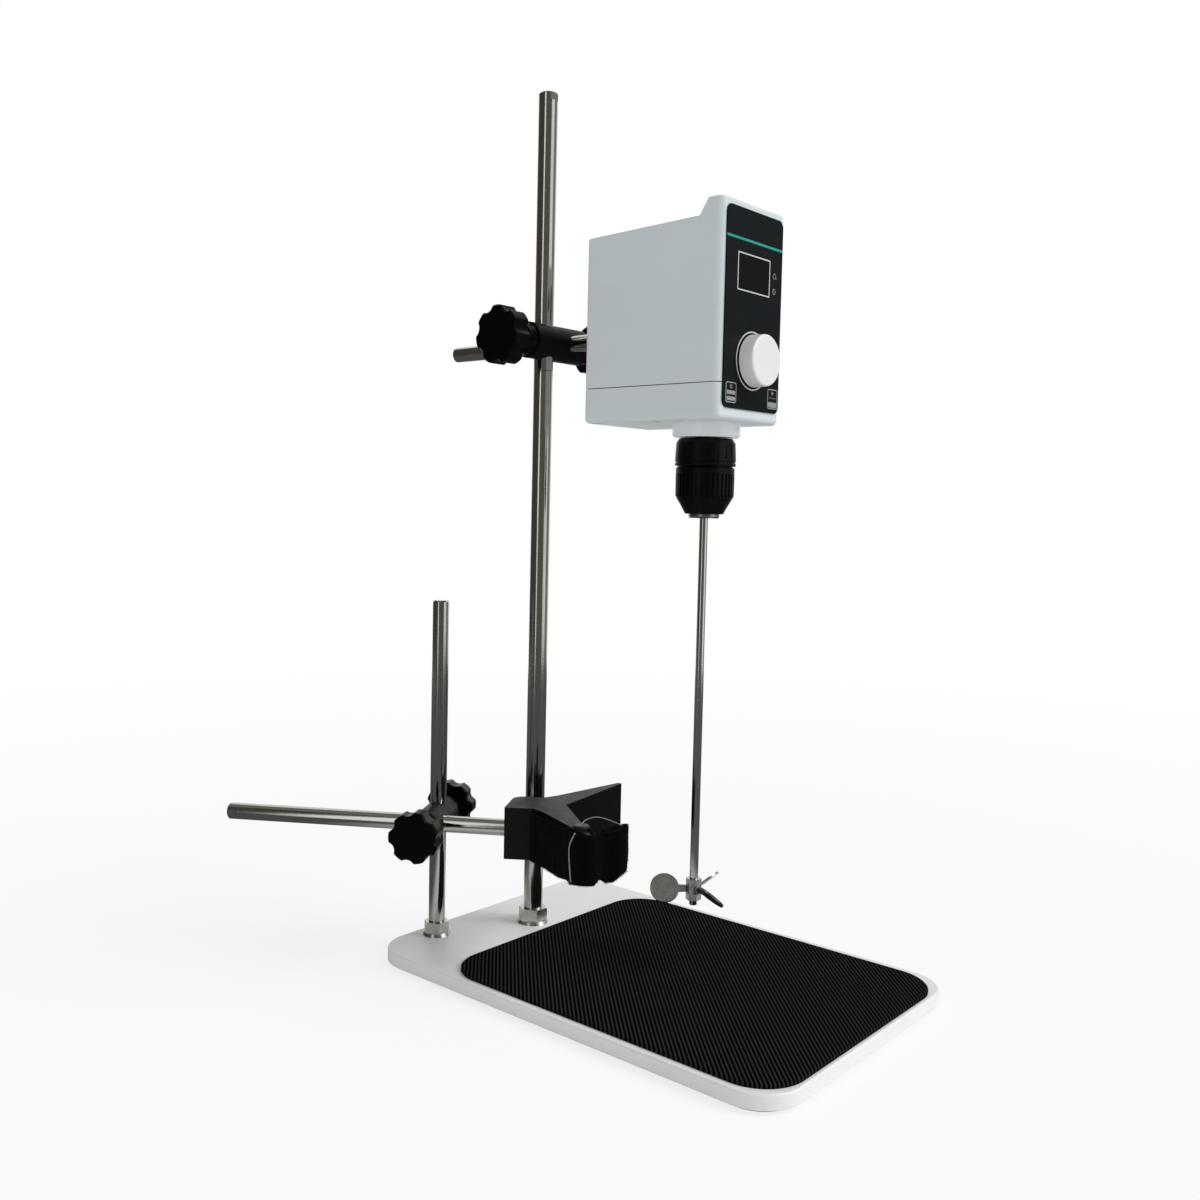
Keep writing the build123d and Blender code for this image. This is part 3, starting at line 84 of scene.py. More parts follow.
# ---------------------------------------------------------------- material helpers
class Surface:
    """A principled material whose nodes are added one call at a time."""

    def __init__(self, name, colour, roughness, metallic=0.0, specular=0.5):
        self.material = bpy.data.materials.new(name)
        self.material.use_nodes = True
        self.tree = self.material.node_tree
        self.shader = self.tree.nodes["Principled BSDF"]
        self.shader.inputs["Base Color"].default_value = (*colour, 1)
        self.shader.inputs["Roughness"].default_value = roughness
        self.shader.inputs["Metallic"].default_value = metallic
        self.shader.inputs["Specular IOR Level"].default_value = specular
        self.colour = colour
        self.place = self.node("ShaderNodeTexCoord").outputs["Object"]
        self.normal = None

    def node(self, kind, **settings):
        made = self.tree.nodes.new(kind)
        for key, value in settings.items():
            setattr(made, key, value)
        return made

    def link(self, source, target):
        self.tree.links.new(source, target)

    def stretched(self, scale, turn=(0, 0, 0)):
        """The object coordinates, turned and scaled."""
        mapping = self.node("ShaderNodeMapping", vector_type="POINT")
        mapping.inputs["Scale"].default_value = scale
        mapping.inputs["Rotation"].default_value = turn
        self.link(self.place, mapping.inputs["Vector"])
        return mapping.outputs["Vector"]

    def noise(self, scale, detail=3.0, roughness=0.55, vector=None):
        texture = self.node("ShaderNodeTexNoise")
        texture.inputs["Scale"].default_value = scale
        texture.inputs["Detail"].default_value = detail
        texture.inputs["Roughness"].default_value = roughness
        self.link(vector or self.place, texture.inputs["Vector"])
        return texture.outputs["Fac"]

    def ramp(self, value, low, high, low_at=0.3, high_at=0.7):
        """A colour or grey that runs from low to high as the value runs from low_at to high_at."""
        ramp = self.node("ShaderNodeValToRGB")
        ramp.color_ramp.elements[0].position = low_at
        ramp.color_ramp.elements[1].position = high_at
        ramp.color_ramp.elements[0].color = (*low, 1)
        ramp.color_ramp.elements[1].color = (*high, 1)
        self.link(value, ramp.inputs["Fac"])
        return ramp.outputs["Color"]

    def mottle(self, value, amount):
        """Lightens and darkens the base colour by a share of itself."""
        low = [c * (1 - amount) for c in self.colour]
        high = [min(1.0, c * (1 + amount)) for c in self.colour]
        self.link(self.ramp(value, low, high), self.shader.inputs["Base Color"])
        return self

    def worn(self, value, low, high):
        """Roughness that varies between two values."""
        spread = self.node("ShaderNodeMapRange")
        spread.inputs["To Min"].default_value = low
        spread.inputs["To Max"].default_value = high
        spread.inputs["From Min"].default_value = 0.3
        spread.inputs["From Max"].default_value = 0.7
        self.link(value, spread.inputs["Value"])
        self.link(spread.outputs["Result"], self.shader.inputs["Roughness"])
        return self

    def bump(self, value, depth, strength=1.0):
        """Adds relief of a real depth in metres over what is there already."""
        bump = self.node("ShaderNodeBump")
        bump.inputs["Strength"].default_value = strength
        bump.inputs["Distance"].default_value = depth
        self.link(value, bump.inputs["Height"])
        if self.normal:
            self.link(self.normal, bump.inputs["Normal"])
        self.normal = bump.outputs["Normal"]
        self.link(self.normal, self.shader.inputs["Normal"])
        return self


def moulded(name, colour, roughness, grain=1 / 0.0009, depth=0.00003, mottle=0.02, specular=0.5):
    """Injection-moulded plastic with a fine spark-eroded grain."""
    made = Surface(name, colour, roughness, specular=specular)
    made.mottle(made.noise(38.0, 2.0), mottle)
    made.worn(made.noise(90.0, 4.0), roughness - 0.05, roughness + 0.06)
    made.bump(made.noise(grain, 2.0, 0.6), depth)
    return made


def drawn_steel(name, colour, roughness, along, streak=1.0):
    """Ground and polished bar with fine marks round it and long faint draw lines along it."""
    made = Surface(name, colour, roughness, metallic=1.0)
    fine = [6000.0 * streak] * 3
    long = [2600.0 * streak] * 3
    for axis in range(3):
        if along[axis]:
            long[axis] = 14.0
        else:
            fine[axis] = 260.0
    rings = made.noise(1.0, 2.0, 0.5, made.stretched(fine))
    lines = made.noise(1.0, 3.0, 0.6, made.stretched(long))
    made.mottle(lines, 0.10)
    made.worn(lines, roughness - 0.04, roughness + 0.05)
    made.bump(rings, 0.000006)
    made.bump(lines, 0.000010)
    return made


# ---------------------------------------------------------------- materials of the base
RIB_PITCH = 0.0021
# the ribs' colour runs from the groove colour up to the crest colour: painted shade in the grooves and a
# painted highlight on the crests
RIB_GROOVE_SHADE, RIB_CREST_HIGHLIGHT = (0.0008, 0.0008, 0.0009), (0.030, 0.0305, 0.032)

plate_paint = Surface("plate_paint", (0.86, 0.87, 0.865), 0.46)
plate_paint.mottle(plate_paint.noise(22.0, 3.0), 0.015)
plate_paint.worn(plate_paint.noise(60.0), 0.40, 0.52)
plate_paint.bump(plate_paint.noise(1 / 0.0016, 2.0, 0.5), 0.00006)

mat_rubber = Surface("mat_rubber", (0.007, 0.0072, 0.008), 0.62, specular=0.0)
rib = mat_rubber.node("ShaderNodeTexWave", wave_type="BANDS", bands_direction="X", wave_profile="SIN")
rib.inputs["Scale"].default_value = 1.0
# a wave texture runs through 20 radians a unit, so 2 pi / 20 over the pitch
mat_rubber.link(mat_rubber.stretched((pi / 10 / RIB_PITCH,) * 3, (0, 0, radians(45))), rib.inputs["Vector"])
# colour across each rib: painted shade in the groove and a painted highlight on the crest, over the real
# relief of the bump below
mat_rubber.link(mat_rubber.ramp(rib.outputs["Fac"], RIB_GROOVE_SHADE, RIB_CREST_HIGHLIGHT, 0.2, 0.95),
                mat_rubber.shader.inputs["Base Color"])
mat_rubber.worn(mat_rubber.noise(45.0, 3.0), 0.5, 0.72)
mat_rubber.bump(rib.outputs["Fac"], 0.00045, 0.8)
mat_rubber.bump(mat_rubber.noise(1 / 0.0007, 2.0), 0.00003)

underlay_rubber = moulded("underlay_rubber", (0.03, 0.03, 0.032), 0.75, 1 / 0.0008, 0.00006, 0.08)

# ---------------------------------------------------------------- materials of rods, blades and screws
STEEL = (0.50, 0.49, 0.46)

column_steel = drawn_steel("column_steel", STEEL, 0.11, (0, 0, 1))
cross_rod_steel = drawn_steel("cross_rod_steel", STEEL, 0.12, (0, 1, 0))
clamp_rod_steel = drawn_steel("clamp_rod_steel", STEEL, 0.12, (1, 1, 0))
shaft_steel = drawn_steel("shaft_steel", (0.58, 0.575, 0.56), 0.09, (0, 0, 1))

blade_steel = Surface("blade_steel", (0.44, 0.43, 0.405), 0.26, metallic=1.0)
brushed = blade_steel.stretched((300.0, 2600.0, 300.0), (0.4, 0.2, 0.7))
blade_steel.mottle(blade_steel.noise(1.0, 3.0, 0.6, brushed), 0.12)
blade_steel.worn(blade_steel.noise(220.0, 3.0), 0.22, 0.4)
blade_steel.bump(blade_steel.noise(900.0, 3.0), 0.00002)

nut_steel = Surface("nut_steel", (0.52, 0.51, 0.485), 0.27, metallic=1.0)
nut_steel.mottle(nut_steel.noise(160.0, 4.0), 0.14)
nut_steel.worn(nut_steel.noise(300.0, 3.0), 0.2, 0.38)
nut_steel.bump(nut_steel.noise(1400.0, 2.0), 0.000015)

screw_steel = Surface("screw_steel", (0.45, 0.45, 0.46), 0.32, metallic=1.0)
screw_steel.mottle(screw_steel.noise(400.0, 3.0), 0.12)
screw_steel.worn(screw_steel.noise(700.0, 3.0), 0.24, 0.42)

# ---------------------------------------------------------------- materials of bosses, knobs and clamp
boss_anodised = Surface("boss_anodised", (0.0012, 0.0014, 0.002), 0.42, specular=0.12)
boss_anodised.mottle(boss_anodised.noise(120.0, 3.0), 0.2)
boss_anodised.worn(boss_anodised.noise(260.0, 4.0), 0.36, 0.5)
boss_anodised.bump(boss_anodised.noise(1 / 0.0005, 2.0), 0.00001)
grip_plastic = moulded("grip_plastic", (0.0012, 0.0014, 0.0017), 0.3, 1 / 0.0011, 0.00002, 0.15, 0.1)
pin_plastic = moulded("pin_plastic", (0.012, 0.0125, 0.014), 0.4, 1 / 0.0011, 0.00002, 0.1, 0.3)
clamp_plastic = moulded("clamp_plastic", (0.004, 0.0046, 0.0052), 0.48, 1 / 0.0006, 0.00004, 0.1, 0.2)

# ---------------------------------------------------------------- materials of head and chuck
housing_plastic = moulded("housing_plastic", (0.71, 0.77, 0.785), 0.42, 1 / 0.00075, 0.00003, 0.012)
collar_plastic = moulded("collar_plastic", (0.82, 0.86, 0.875), 0.2, 1 / 0.0012, 0.00001, 0.01)
panel_film = moulded("panel_film", (0.004, 0.0065, 0.0078), 0.38, 1 / 0.00035, 0.000012, 0.04, 0.1)
display_glass = Surface("display_glass", (0.0045, 0.0055, 0.006), 0.08, specular=0.1)
display_glass.worn(display_glass.noise(35.0, 4.0), 0.05, 0.12)
display_glass.mottle(display_glass.noise(60.0), 0.1)
knob_plastic = moulded("knob_plastic", (0.84, 0.835, 0.82), 0.36, 1 / 0.0007, 0.00002, 0.012)
socket_plastic = moulded("socket_plastic", (0.01, 0.01, 0.011), 0.36, 1 / 0.0008, 0.00002, 0.1, 0.25)
chuck_plastic = moulded("chuck_plastic", (0.0018, 0.0026, 0.0034), 0.38, 1 / 0.0006, 0.00003, 0.12, 0.12)
chuck_metal = Surface("chuck_metal", (0.3, 0.3, 0.3), 0.33, metallic=1.0)
chuck_metal.mottle(chuck_metal.noise(1.0, 3.0, 0.6, chuck_metal.stretched((160.0, 160.0, 3400.0))), 0.2)
chuck_metal.worn(chuck_metal.noise(500.0, 3.0), 0.25, 0.42)

# ---------------------------------------------------------------- materials inside the head
board_green = moulded("board_green", (0.015, 0.12, 0.05), 0.35, 1 / 0.0008, 0.00002, 0.12)
motor_can = Surface("motor_can", (0.32, 0.33, 0.34), 0.35, metallic=1.0)
motor_can.mottle(motor_can.noise(1.0, 3.0, 0.6, motor_can.stretched((300.0, 300.0, 2400.0))), 0.1)
gear_acetal = moulded("gear_acetal", (0.72, 0.70, 0.62), 0.4, 1 / 0.001, 0.00002, 0.03)
pinion_brass = Surface("pinion_brass", (0.68, 0.5, 0.22), 0.28, metallic=1.0)
pinion_brass.mottle(pinion_brass.noise(500.0, 3.0), 0.15)
bridge_aluminium = Surface("bridge_aluminium", (0.66, 0.67, 0.68), 0.36, metallic=1.0)
milled = bridge_aluminium.stretched((60.0, 2200.0, 2200.0))
bridge_aluminium.mottle(bridge_aluminium.noise(1.0, 3.0, 0.6, milled), 0.08)

# ---------------------------------------------------------------- materials of strap and prints
strap_fabric = Surface("strap_fabric", (0.002, 0.002, 0.0022), 0.95, specular=0.05)
strap_fabric.mottle(strap_fabric.noise(900.0, 4.0), 0.5)
strap_fabric.shader.inputs["Sheen Weight"].default_value = 0.02
strap_fabric.shader.inputs["Sheen Roughness"].default_value = 0.5
strap_fabric.bump(strap_fabric.noise(1 / 0.0006, 4.0, 0.7), 0.0006)
# grey of the painted highlights drawn as thin tubes along the strap's edges, where light catches them
strap_edge_highlight = Surface("strap_edge_highlight", (0.30, 0.31, 0.32), 0.45)
strap_edge_highlight.mottle(strap_edge_highlight.noise(1500.0, 2.0), 0.3)
print_white = moulded("print_white", (0.62, 0.63, 0.64), 0.45, 1 / 0.0004, 0.00001, 0.03)
print_grey = moulded("print_grey", (0.30, 0.31, 0.32), 0.45, 1 / 0.0004, 0.00001, 0.03)
print_teal = moulded("print_teal", (0.0, 0.32, 0.24), 0.42, 1 / 0.0004, 0.00001, 0.03)

# ---------------------------------------------------------------- which node wears what
dressing = {
    plate_paint: ["base_plate"],
    mat_rubber: ["base_mat"],
    underlay_rubber: ["base_underlay"],
    column_steel: ["lower_column", "upper_column", "short_column"],
    cross_rod_steel: ["support_rod"],
    clamp_rod_steel: ["clamp_rod"],
    shaft_steel: ["stirring_shaft"],
    blade_steel: ["propeller"],
    nut_steel: ["tall_column_nut", "short_column_nut", "propeller_nuts"],
    boss_anodised: ["main_boss", "small_boss"],
    grip_plastic: ["main_column_knob", "main_rod_knob", "small_rod_knob", "small_column_knob"],
    pin_plastic: ["strap_pin"],
    screw_steel: ["main_column_screw", "main_rod_screw", "small_rod_screw", "small_column_screw",
                  "rod_set_screw", "housing_screws", "encoder_shaft", "gearbox_screws", "spindle_circlip",
                  "motor_shaft", "clamp_set_screw", "upper_bearing", "lower_bearing"],
    housing_plastic: ["lower_housing", "upper_housing"],
    collar_plastic: ["bearing_collar"],
    panel_film: ["front_panel"],
    display_glass: ["display_window", "display_module"],
    knob_plastic: ["control_knob"],
    socket_plastic: ["switch_frame", "power_rocker", "dc_jack", "encoder_body"],
    chuck_plastic: ["chuck_front_sleeve", "chuck_rear_sleeve"],
    chuck_metal: ["chuck_body", "chuck_jaw_1", "chuck_jaw_2", "chuck_jaw_3", "chuck_nut", "spindle"],
    clamp_plastic: ["vessel_clamp"],
    board_green: ["circuit_board"],
    motor_can: ["motor"],
    gear_acetal: ["spindle_gear"],
    pinion_brass: ["motor_pinion"],
    bridge_aluminium: ["bearing_bridge", "rod_mount"],
}
for surface, dressed in dressing.items():
    for name in dressed:
        nodes[name].data.materials.clear()
        nodes[name].data.materials.append(surface.material)


# ---------------------------------------------------------------- mesh helpers
def piece(name, mesh, surface, body):
    """A finished mesh as a piece that rides on a CAD body."""
    data = bpy.data.meshes.new(name)
    mesh.to_mesh(data)
    mesh.free()
    made = bpy.data.objects.new(name, data)
    bpy.context.scene.collection.objects.link(made)
    data.materials.append(surface.material)
    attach(made, body)
    return made


def print_face(mesh, outline, holes=(), proud=0.00008):
    """A thin printed shape on the front panel, drawn in (x from the head's middle, z)."""
    y = PANEL_FACE_Y - proud
    loops = []
    for points in (outline, *holes):
        verts = [mesh.verts.new((HEAD_X + x, y, z)) for x, z in points]
        loops += [mesh.edges.new((verts[i], verts[(i + 1) % len(verts)])) for i in range(len(verts))]
    bmesh.ops.triangle_fill(mesh, edges=loops, use_beauty=True, normal=(0, -1, 0))


def rounded(x, z, width, height, radius, steps=6):
    """Corner points of a rounded rectangle about (x, z)."""
    points = []
    for corner, (sx, sz) in enumerate(((1, 1), (-1, 1), (-1, -1), (1, -1))):
        for step in range(steps + 1):
            angle = (corner + step / steps) * pi / 2
            points.append((x + sx * (width / 2 - radius) + radius * cos(angle),
                           z + sz * (height / 2 - radius) + radius * sin(angle)))
    return points


def circle(x, z, radius, steps=96):
    """Points round a circle about (x, z)."""
    return [(x + radius * cos(2 * pi * i / steps), z + radius * sin(2 * pi * i / steps))
            for i in range(steps)]


# ---------------------------------------------------------------- printed panel graphics
# Places are (x from the head's middle, z).
PANEL_LINE_LOW, PANEL_LINE_HIGH = 0.42205, 0.4234
DISPLAY_FRAME, DISPLAY_FRAME_GAP = 0.0016, 0.0002    # what the frame's two outlines add to the window
KNOB_RING_R, KNOB_RING_INNER_R = 0.0162, 0.0154
LEFT_KEY, RIGHT_KEY = (-0.0202, 0.3394), (0.0215, 0.3390)
KEY_W, KEY_H, KEY_LINE = 0.0100, 0.0109, 0.0003
TURN_SIGN, CLOCK_SIGN = (0.0198, 0.4077), (0.0197, 0.3992)
SIGN_R, SIGN_INNER_R = 0.0016, 0.0012
KEY_RING_UP, KEY_RING_R, KEY_RING_INNER_R = 0.0032, 0.0011, 0.0006
KEY_BAR_W, KEY_BAR_H, KEY_BAR_DROP = 0.0084, 0.0021, 0.0033
DOT_PITCH, DOT_UP, DOT_R = 0.0015, 0.0006, 0.0003
HAND_LONG, HAND_THIN = 0.0010, 0.0003          # the clock's hands

half_panel = (PANEL_HIGH.x - PANEL_LOW.x) / 2
line = bmesh.new()
print_face(line, [(-half_panel, PANEL_LINE_LOW), (half_panel, PANEL_LINE_LOW),
                  (half_panel, PANEL_LINE_HIGH), (-half_panel, PANEL_LINE_HIGH)])
piece("panel_line", line, print_teal, "head")

display_x = (DISPLAY_LOW.x + DISPLAY_HIGH.x) / 2 - HEAD_X
display_z = (DISPLAY_LOW.z + DISPLAY_HIGH.z) / 2
display_w, display_h = DISPLAY_HIGH.x - DISPLAY_LOW.x, DISPLAY_HIGH.z - DISPLAY_LOW.z
frame_outer = rounded(display_x, display_z, display_w + DISPLAY_FRAME, display_h + DISPLAY_FRAME, 0.0005)
frame_inner = rounded(display_x, display_z, display_w + DISPLAY_FRAME_GAP,
                      display_h + DISPLAY_FRAME_GAP, 0.0003)
graphics = bmesh.new()
print_face(graphics, frame_outer, [frame_inner])
print_face(graphics, circle(0, KNOB_Z, KNOB_RING_R), [circle(0, KNOB_Z, KNOB_RING_INNER_R)])
for x, z in (LEFT_KEY, RIGHT_KEY):
    print_face(graphics, rounded(x, z, KEY_W, KEY_H, 0.0012),
               [rounded(x, z, KEY_W - 2 * KEY_LINE, KEY_H - 2 * KEY_LINE, 0.0009)])
piece("panel_print", graphics, print_white, "head")

# left key: a ring over two bars
icons = bmesh.new()
x, z = LEFT_KEY
print_face(icons, circle(x, z + KEY_RING_UP, KEY_RING_R, 40),
           [circle(x, z + KEY_RING_UP, KEY_RING_INNER_R, 40)])
for bar_z in (z, z - KEY_BAR_DROP):
    print_face(icons, rounded(x, bar_z, KEY_BAR_W, KEY_BAR_H, 0.0009))

# right key: a triangle, five dots and a bar
x, z = RIGHT_KEY
print_face(icons, [(x - 0.0009, z + 0.0021), (x + 0.0012, z + 0.0033), (x - 0.0009, z + 0.0045)])
for dot in range(5):
    print_face(icons, circle(x + (dot - 2) * DOT_PITCH, z + DOT_UP, DOT_R, 16))
print_face(icons, rounded(x, z - 0.0032, 0.0086, 0.0030, 0.0012))

# an open ring with an arrowhead, for the speed, and a clock with two hands, for the time
x, z = TURN_SIGN
arc = [(SIGN_R, angle) for angle in range(-20, 291, 10)]
arc += [(SIGN_INNER_R, angle) for angle in range(290, -21, -10)]
print_face(icons, [(x + radius * cos(radians(angle)), z + radius * sin(radians(angle)))
                   for radius, angle in arc])
print_face(icons, [(x + 0.0007, z - 0.0005), (x + 0.0015, z - 0.0016), (x + 0.0022, z - 0.0005)])
x, z = CLOCK_SIGN
print_face(icons, circle(x, z, SIGN_R, 48), [circle(x, z, SIGN_INNER_R, 48)])
print_face(icons, rounded(x, z + 0.0004, HAND_THIN, HAND_LONG, 0.0001))
print_face(icons, rounded(x + 0.0004, z - 0.0001, HAND_LONG, HAND_THIN, 0.0001))
piece("panel_icons", icons, print_grey, "head")

# ---------------------------------------------------------------- lining of the clamp
# Plan places on the clamp are (u along the clamp rod, v along the small boss).
ROD_DIR = Vector((sin(CLAMP_TURN), -cos(CLAMP_TURN), 0))
BOSS_DIR = Vector((cos(CLAMP_TURN), sin(CLAMP_TURN), 0))
CLAMP_AT = Vector((-0.042868, 0.078391, 0))    # middle of the clamp's back edge, straight below it
LINING_U, LINING_V = 0.025, 0.004              # the lining is past both,
LINING_FACING = 0.3                            # on faces that look back along the boss by this share or more

clamp = nodes["vessel_clamp"]
clamp.data.materials.append(strap_fabric.material)
for polygon in clamp.data.polygons:
    place = clamp.matrix_world @ polygon.center - CLAMP_AT
    inward = -(clamp.matrix_world.to_3x3() @ polygon.normal).normalized().dot(BOSS_DIR)
    if inward > LINING_FACING and place.dot(BOSS_DIR) > LINING_V and place.dot(ROD_DIR) > LINING_U:
        polygon.material_index = 1

# ---------------------------------------------------------------- strap rolled up on the clamp's near arm
STRAP_THICK, STRAP_WIDTH = 0.0020, 0.0276
STRAP_STEP = 0.0008                # spacing of the points along the strap and along the painted highlight tubes on its edges
STRAP_LOW, STRAP_RISE = 0.0700, 0.0030         # lower edge near the clamp's root, and its rise to the rolls
ROLL_A, ROLL_B = Vector((0.055, -0.0575)), Vector((0.069, -0.0485))
ROLL_A_R, ROLL_B_R, ROLL_PITCH = 0.0083, 0.0077, 0.0022
ROLL_B_START, ROLL_B_END = 285, 1136           # headings between which roll B winds inwards
OUTER_FROM = 0.074                 # how far along the strap its outer, piled layer starts
NOTCH_U, NOTCH_HALF, NOTCH_H = 0.0632, 0.0028, 0.0026    # gap in the lower edge between the two rolls
RISE_FROM, RISE_TO = 0.036, 0.052  # u where the edges rise to the rolls
END_FROM, END_TO = 0.0690, 0.0770  # u where roll B's outer end narrows
END_LOW, END_HIGH = 0.0048, 0.0022             # how far its two edges rise there
LEVELS = 14                        # steps across the strap's width
RIM, RIM_SHARE = 0.0016, 0.55      # the strap thins to this share of its thickness over its rim
CURVE_STEPS = 24                   # steps between two places of a smooth path, before it is spaced evenly
FIBRES, FIBRE_HALF = 11000, 0.00009
DENSE_STEPS, MOVED_SHARE = 130, 0.75           # length of the dense stretch, share of the rest moved there
LOWER_SHARE, EDGE_SHARE = 0.14, 0.24           # shares of the fibres on the lower edge and on both edges
strap_random = Random(7)


def smooth_path(points, spacing):
    """Evenly spaced points along a Catmull-Rom curve through the given ones."""
    dense = []
    for i in range(len(points) - 1):
        p0, p1, p2 = points[max(i - 1, 0)], points[i], points[i + 1]
        p3 = points[min(i + 2, len(points) - 1)]
        for step in range(CURVE_STEPS):
            t = step / CURVE_STEPS
            dense.append(0.5 * (2 * p1 + (p2 - p0) * t + (2 * p0 - 5 * p1 + 4 * p2 - p3) * t * t
                                + (3 * p1 - p0 - 3 * p2 + p3) * t ** 3))
    dense.append(points[-1])
    even, left = [dense[0]], spacing
    for a, b in zip(dense, dense[1:]):
        length = (b - a).length
        while length >= left:
            a = a + (b - a) * (left / length)
            even.append(a)
            length, left = (b - a).length, spacing
        left -= length
    return even


def polar(centre, radius, angle):
    """Plan point at a heading in degrees from a centre."""
    return centre + Vector((cos(radians(angle)), sin(radians(angle)))) * radius


# middle line in millimetres: out of roll A, along the arm to its root, folded back, round roll A, into roll B
strap_route = [Vector(p) / 1000 for p in (
    (54.2, -46.7), (57.2, -54.1), (59.8, -60.6), (60.1, -62.6), (59.2, -63.8), (57.2, -64.4), (54.9, -63.0),
    (50.7, -57.4), (43.5, -47.8), (31.5, -31.8), (24.2, -22.0), (17.7, -16.0), (17.0, -17.6), (22.4, -23.2),
    (29.8, -33.0), (41.8, -49.0), (44.5, -52.7), (46.3, -56.5))]
strap_route += [polar(ROLL_A, ROLL_A_R, angle) for angle in range(198, 319, 12)]
strap_route.append(Vector((0.0646, -0.0593)))
strap_route += [polar(ROLL_B, ROLL_B_R - ROLL_PITCH * (angle - ROLL_B_START) / 360, angle)
                for angle in range(ROLL_B_START, ROLL_B_END, 20)]
strap_path = smooth_path(strap_route, STRAP_STEP)
first_outer = int(OUTER_FROM / STRAP_STEP)


def strap_frame(index):
    """Point and sideways direction of the strap's middle line at one of its steps."""
    before, after = strap_path[max(index - 1, 0)], strap_path[min(index + 1, len(strap_path) - 1)]
    along = (after - before).normalized()
    return strap_path[index], Vector((along.y, -along.x))


def strap_point(flat, z):
    """Place in the frame of a plan point on the clamp and a height."""
    return CLAMP_AT + ROD_DIR * flat.x + BOSS_DIR * flat.y + Vector((0, 0, z))


def crumple(flat, z):
    """Soft unevenness of the strap in metres."""
    return 0.0004 * noise.noise(Vector((flat.x * 260, flat.y * 260, z * 120)))


def eased(value, start, end):
    """0 before start, 1 after end and a smooth run between."""
    share = min(1.0, max(0.0, (value - start) / (end - start)))
    return share * share * (3 - 2 * share)


def strap_edges(index):
    """Heights of the strap's lower and upper edge at one of its steps."""
    u = strap_path[index].x
    low = STRAP_LOW + STRAP_RISE * eased(u, RISE_FROM, RISE_TO)
    high = low + STRAP_WIDTH
    end = eased(u, END_FROM, END_TO)
    wave = 0.0006 * noise.noise(Vector((index * 0.06, 3.0, 0)))
    notch = NOTCH_H * max(0.0, 1 - abs(u - NOTCH_U) / NOTCH_HALF) if index > first_outer else 0.0
    return low + END_LOW * end + notch + wave, high + END_HIGH * end + wave


strap = bmesh.new()
rings = []
half = STRAP_THICK / 2 - 0.0002    # half its thickness without the pile
for index in range(len(strap_path)):
    centre, side = strap_frame(index)
    ring = []
    strap_low, strap_high = strap_edges(index)
    for sign in (1, -1):
        for step in range(LEVELS + 1):
            share = step / LEVELS if sign == 1 else 1 - step / LEVELS
            z = strap_low + (strap_high - strap_low) * share
            rim = min(share, 1 - share) * (strap_high - strap_low)
            thick = half * (RIM_SHARE + (1 - RIM_SHARE) * min(1.0, rim / RIM))
            flat = centre + side * (sign * thick + crumple(centre, z))
            ring.append(strap.verts.new(strap_point(flat, z)))
    rings.append(ring)
for a, b in zip(rings, rings[1:]):
    for i in range(len(a)):
        j = (i + 1) % len(a)
        strap.faces.new((a[i], a[j], b[j], b[i]))
strap.faces.new(rings[0])
strap.faces.new(list(reversed(rings[-1])))
bmesh.ops.recalc_face_normals(strap, faces=strap.faces)
strap_piece = piece("rolled_strap", strap, strap_fabric, "vessel_clamp")
for polygon in strap_piece.data.polygons:
    polygon.use_smooth = True
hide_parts("vessel_strap")

# pile: most fibres stand on the first stretch of the outer layer, a quarter of them along its two edges
fibres = bmesh.new()
last_dense = first_outer + DENSE_STEPS
for _ in range(FIBRES):
    index = strap_random.randint(first_outer, len(strap_path) - 1)
    if index > last_dense and strap_random.random() < MOVED_SHARE:
        index = strap_random.randint(first_outer, last_dense)
    centre, side = strap_frame(index)
    strap_low, strap_high = strap_edges(index)
    edge = strap_random.random()
    if edge < EDGE_SHARE:
        z = strap_low if edge < LOWER_SHARE else strap_high
        out = side * strap_random.uniform(-0.8, 1.0)
        root = strap_point(centre + side * strap_random.uniform(-0.4, 1.0) * STRAP_THICK / 2, z)
        lean = Vector((0, 0, -1 if edge < LOWER_SHARE else 0.45)) + ROD_DIR * out.x + BOSS_DIR * out.y
    else:
        z = strap_random.uniform(strap_low, strap_high)
        root = strap_point(centre + side * (STRAP_THICK / 2 - 0.0003 + crumple(centre, z)), z)
        lean = ROD_DIR * side.x + BOSS_DIR * side.y
    lean = lean + Vector([strap_random.uniform(-0.75, 0.75) for _ in range(3)])
    reach = strap_random.uniform(0.0005, 0.0009 + 0.0005 * eased(centre.x, 0.060, 0.074))
    tip = root + lean.normalized() * reach
    slant = lean.cross(Vector([strap_random.uniform(-1, 1) for _ in range(3)]))
    across = slant.normalized() * FIBRE_HALF
    fibres.faces.new([fibres.verts.new(p) for p in (root - across, root + across, tip)])
piece("strap_pile", fibres, strap_fabric, "vessel_clamp")


def highlight_tube(places, radius, sides=8):
    """Thin round tube through places (u, v, z) in millimetres, for a painted highlight along a strap edge."""
    points = smooth_path([strap_point(Vector((u, v)) / 1000, z / 1000) for u, v, z in places], STRAP_STEP)
    tube = bmesh.new()
    rows = []
    for i, point in enumerate(points):
        along = (points[min(i + 1, len(points) - 1)] - points[max(i - 1, 0)]).normalized()
        first = along.cross(Vector((0.31, 0.17, 0.93))).normalized()
        second = along.cross(first)
        row = []
        for k in range(sides):
            turn = 2 * pi * k / sides
            row.append(tube.verts.new(point + (first * cos(turn) + second * sin(turn)) * radius))
        rows.append(row)
    for a, b in zip(rows, rows[1:]):
        for k in range(sides):
            tube.faces.new((a[k], a[(k + 1) % sides], b[(k + 1) % sides], b[k]))
    tube.faces.new(list(reversed(rows[0])))
    tube.faces.new(rows[-1])
    return tube


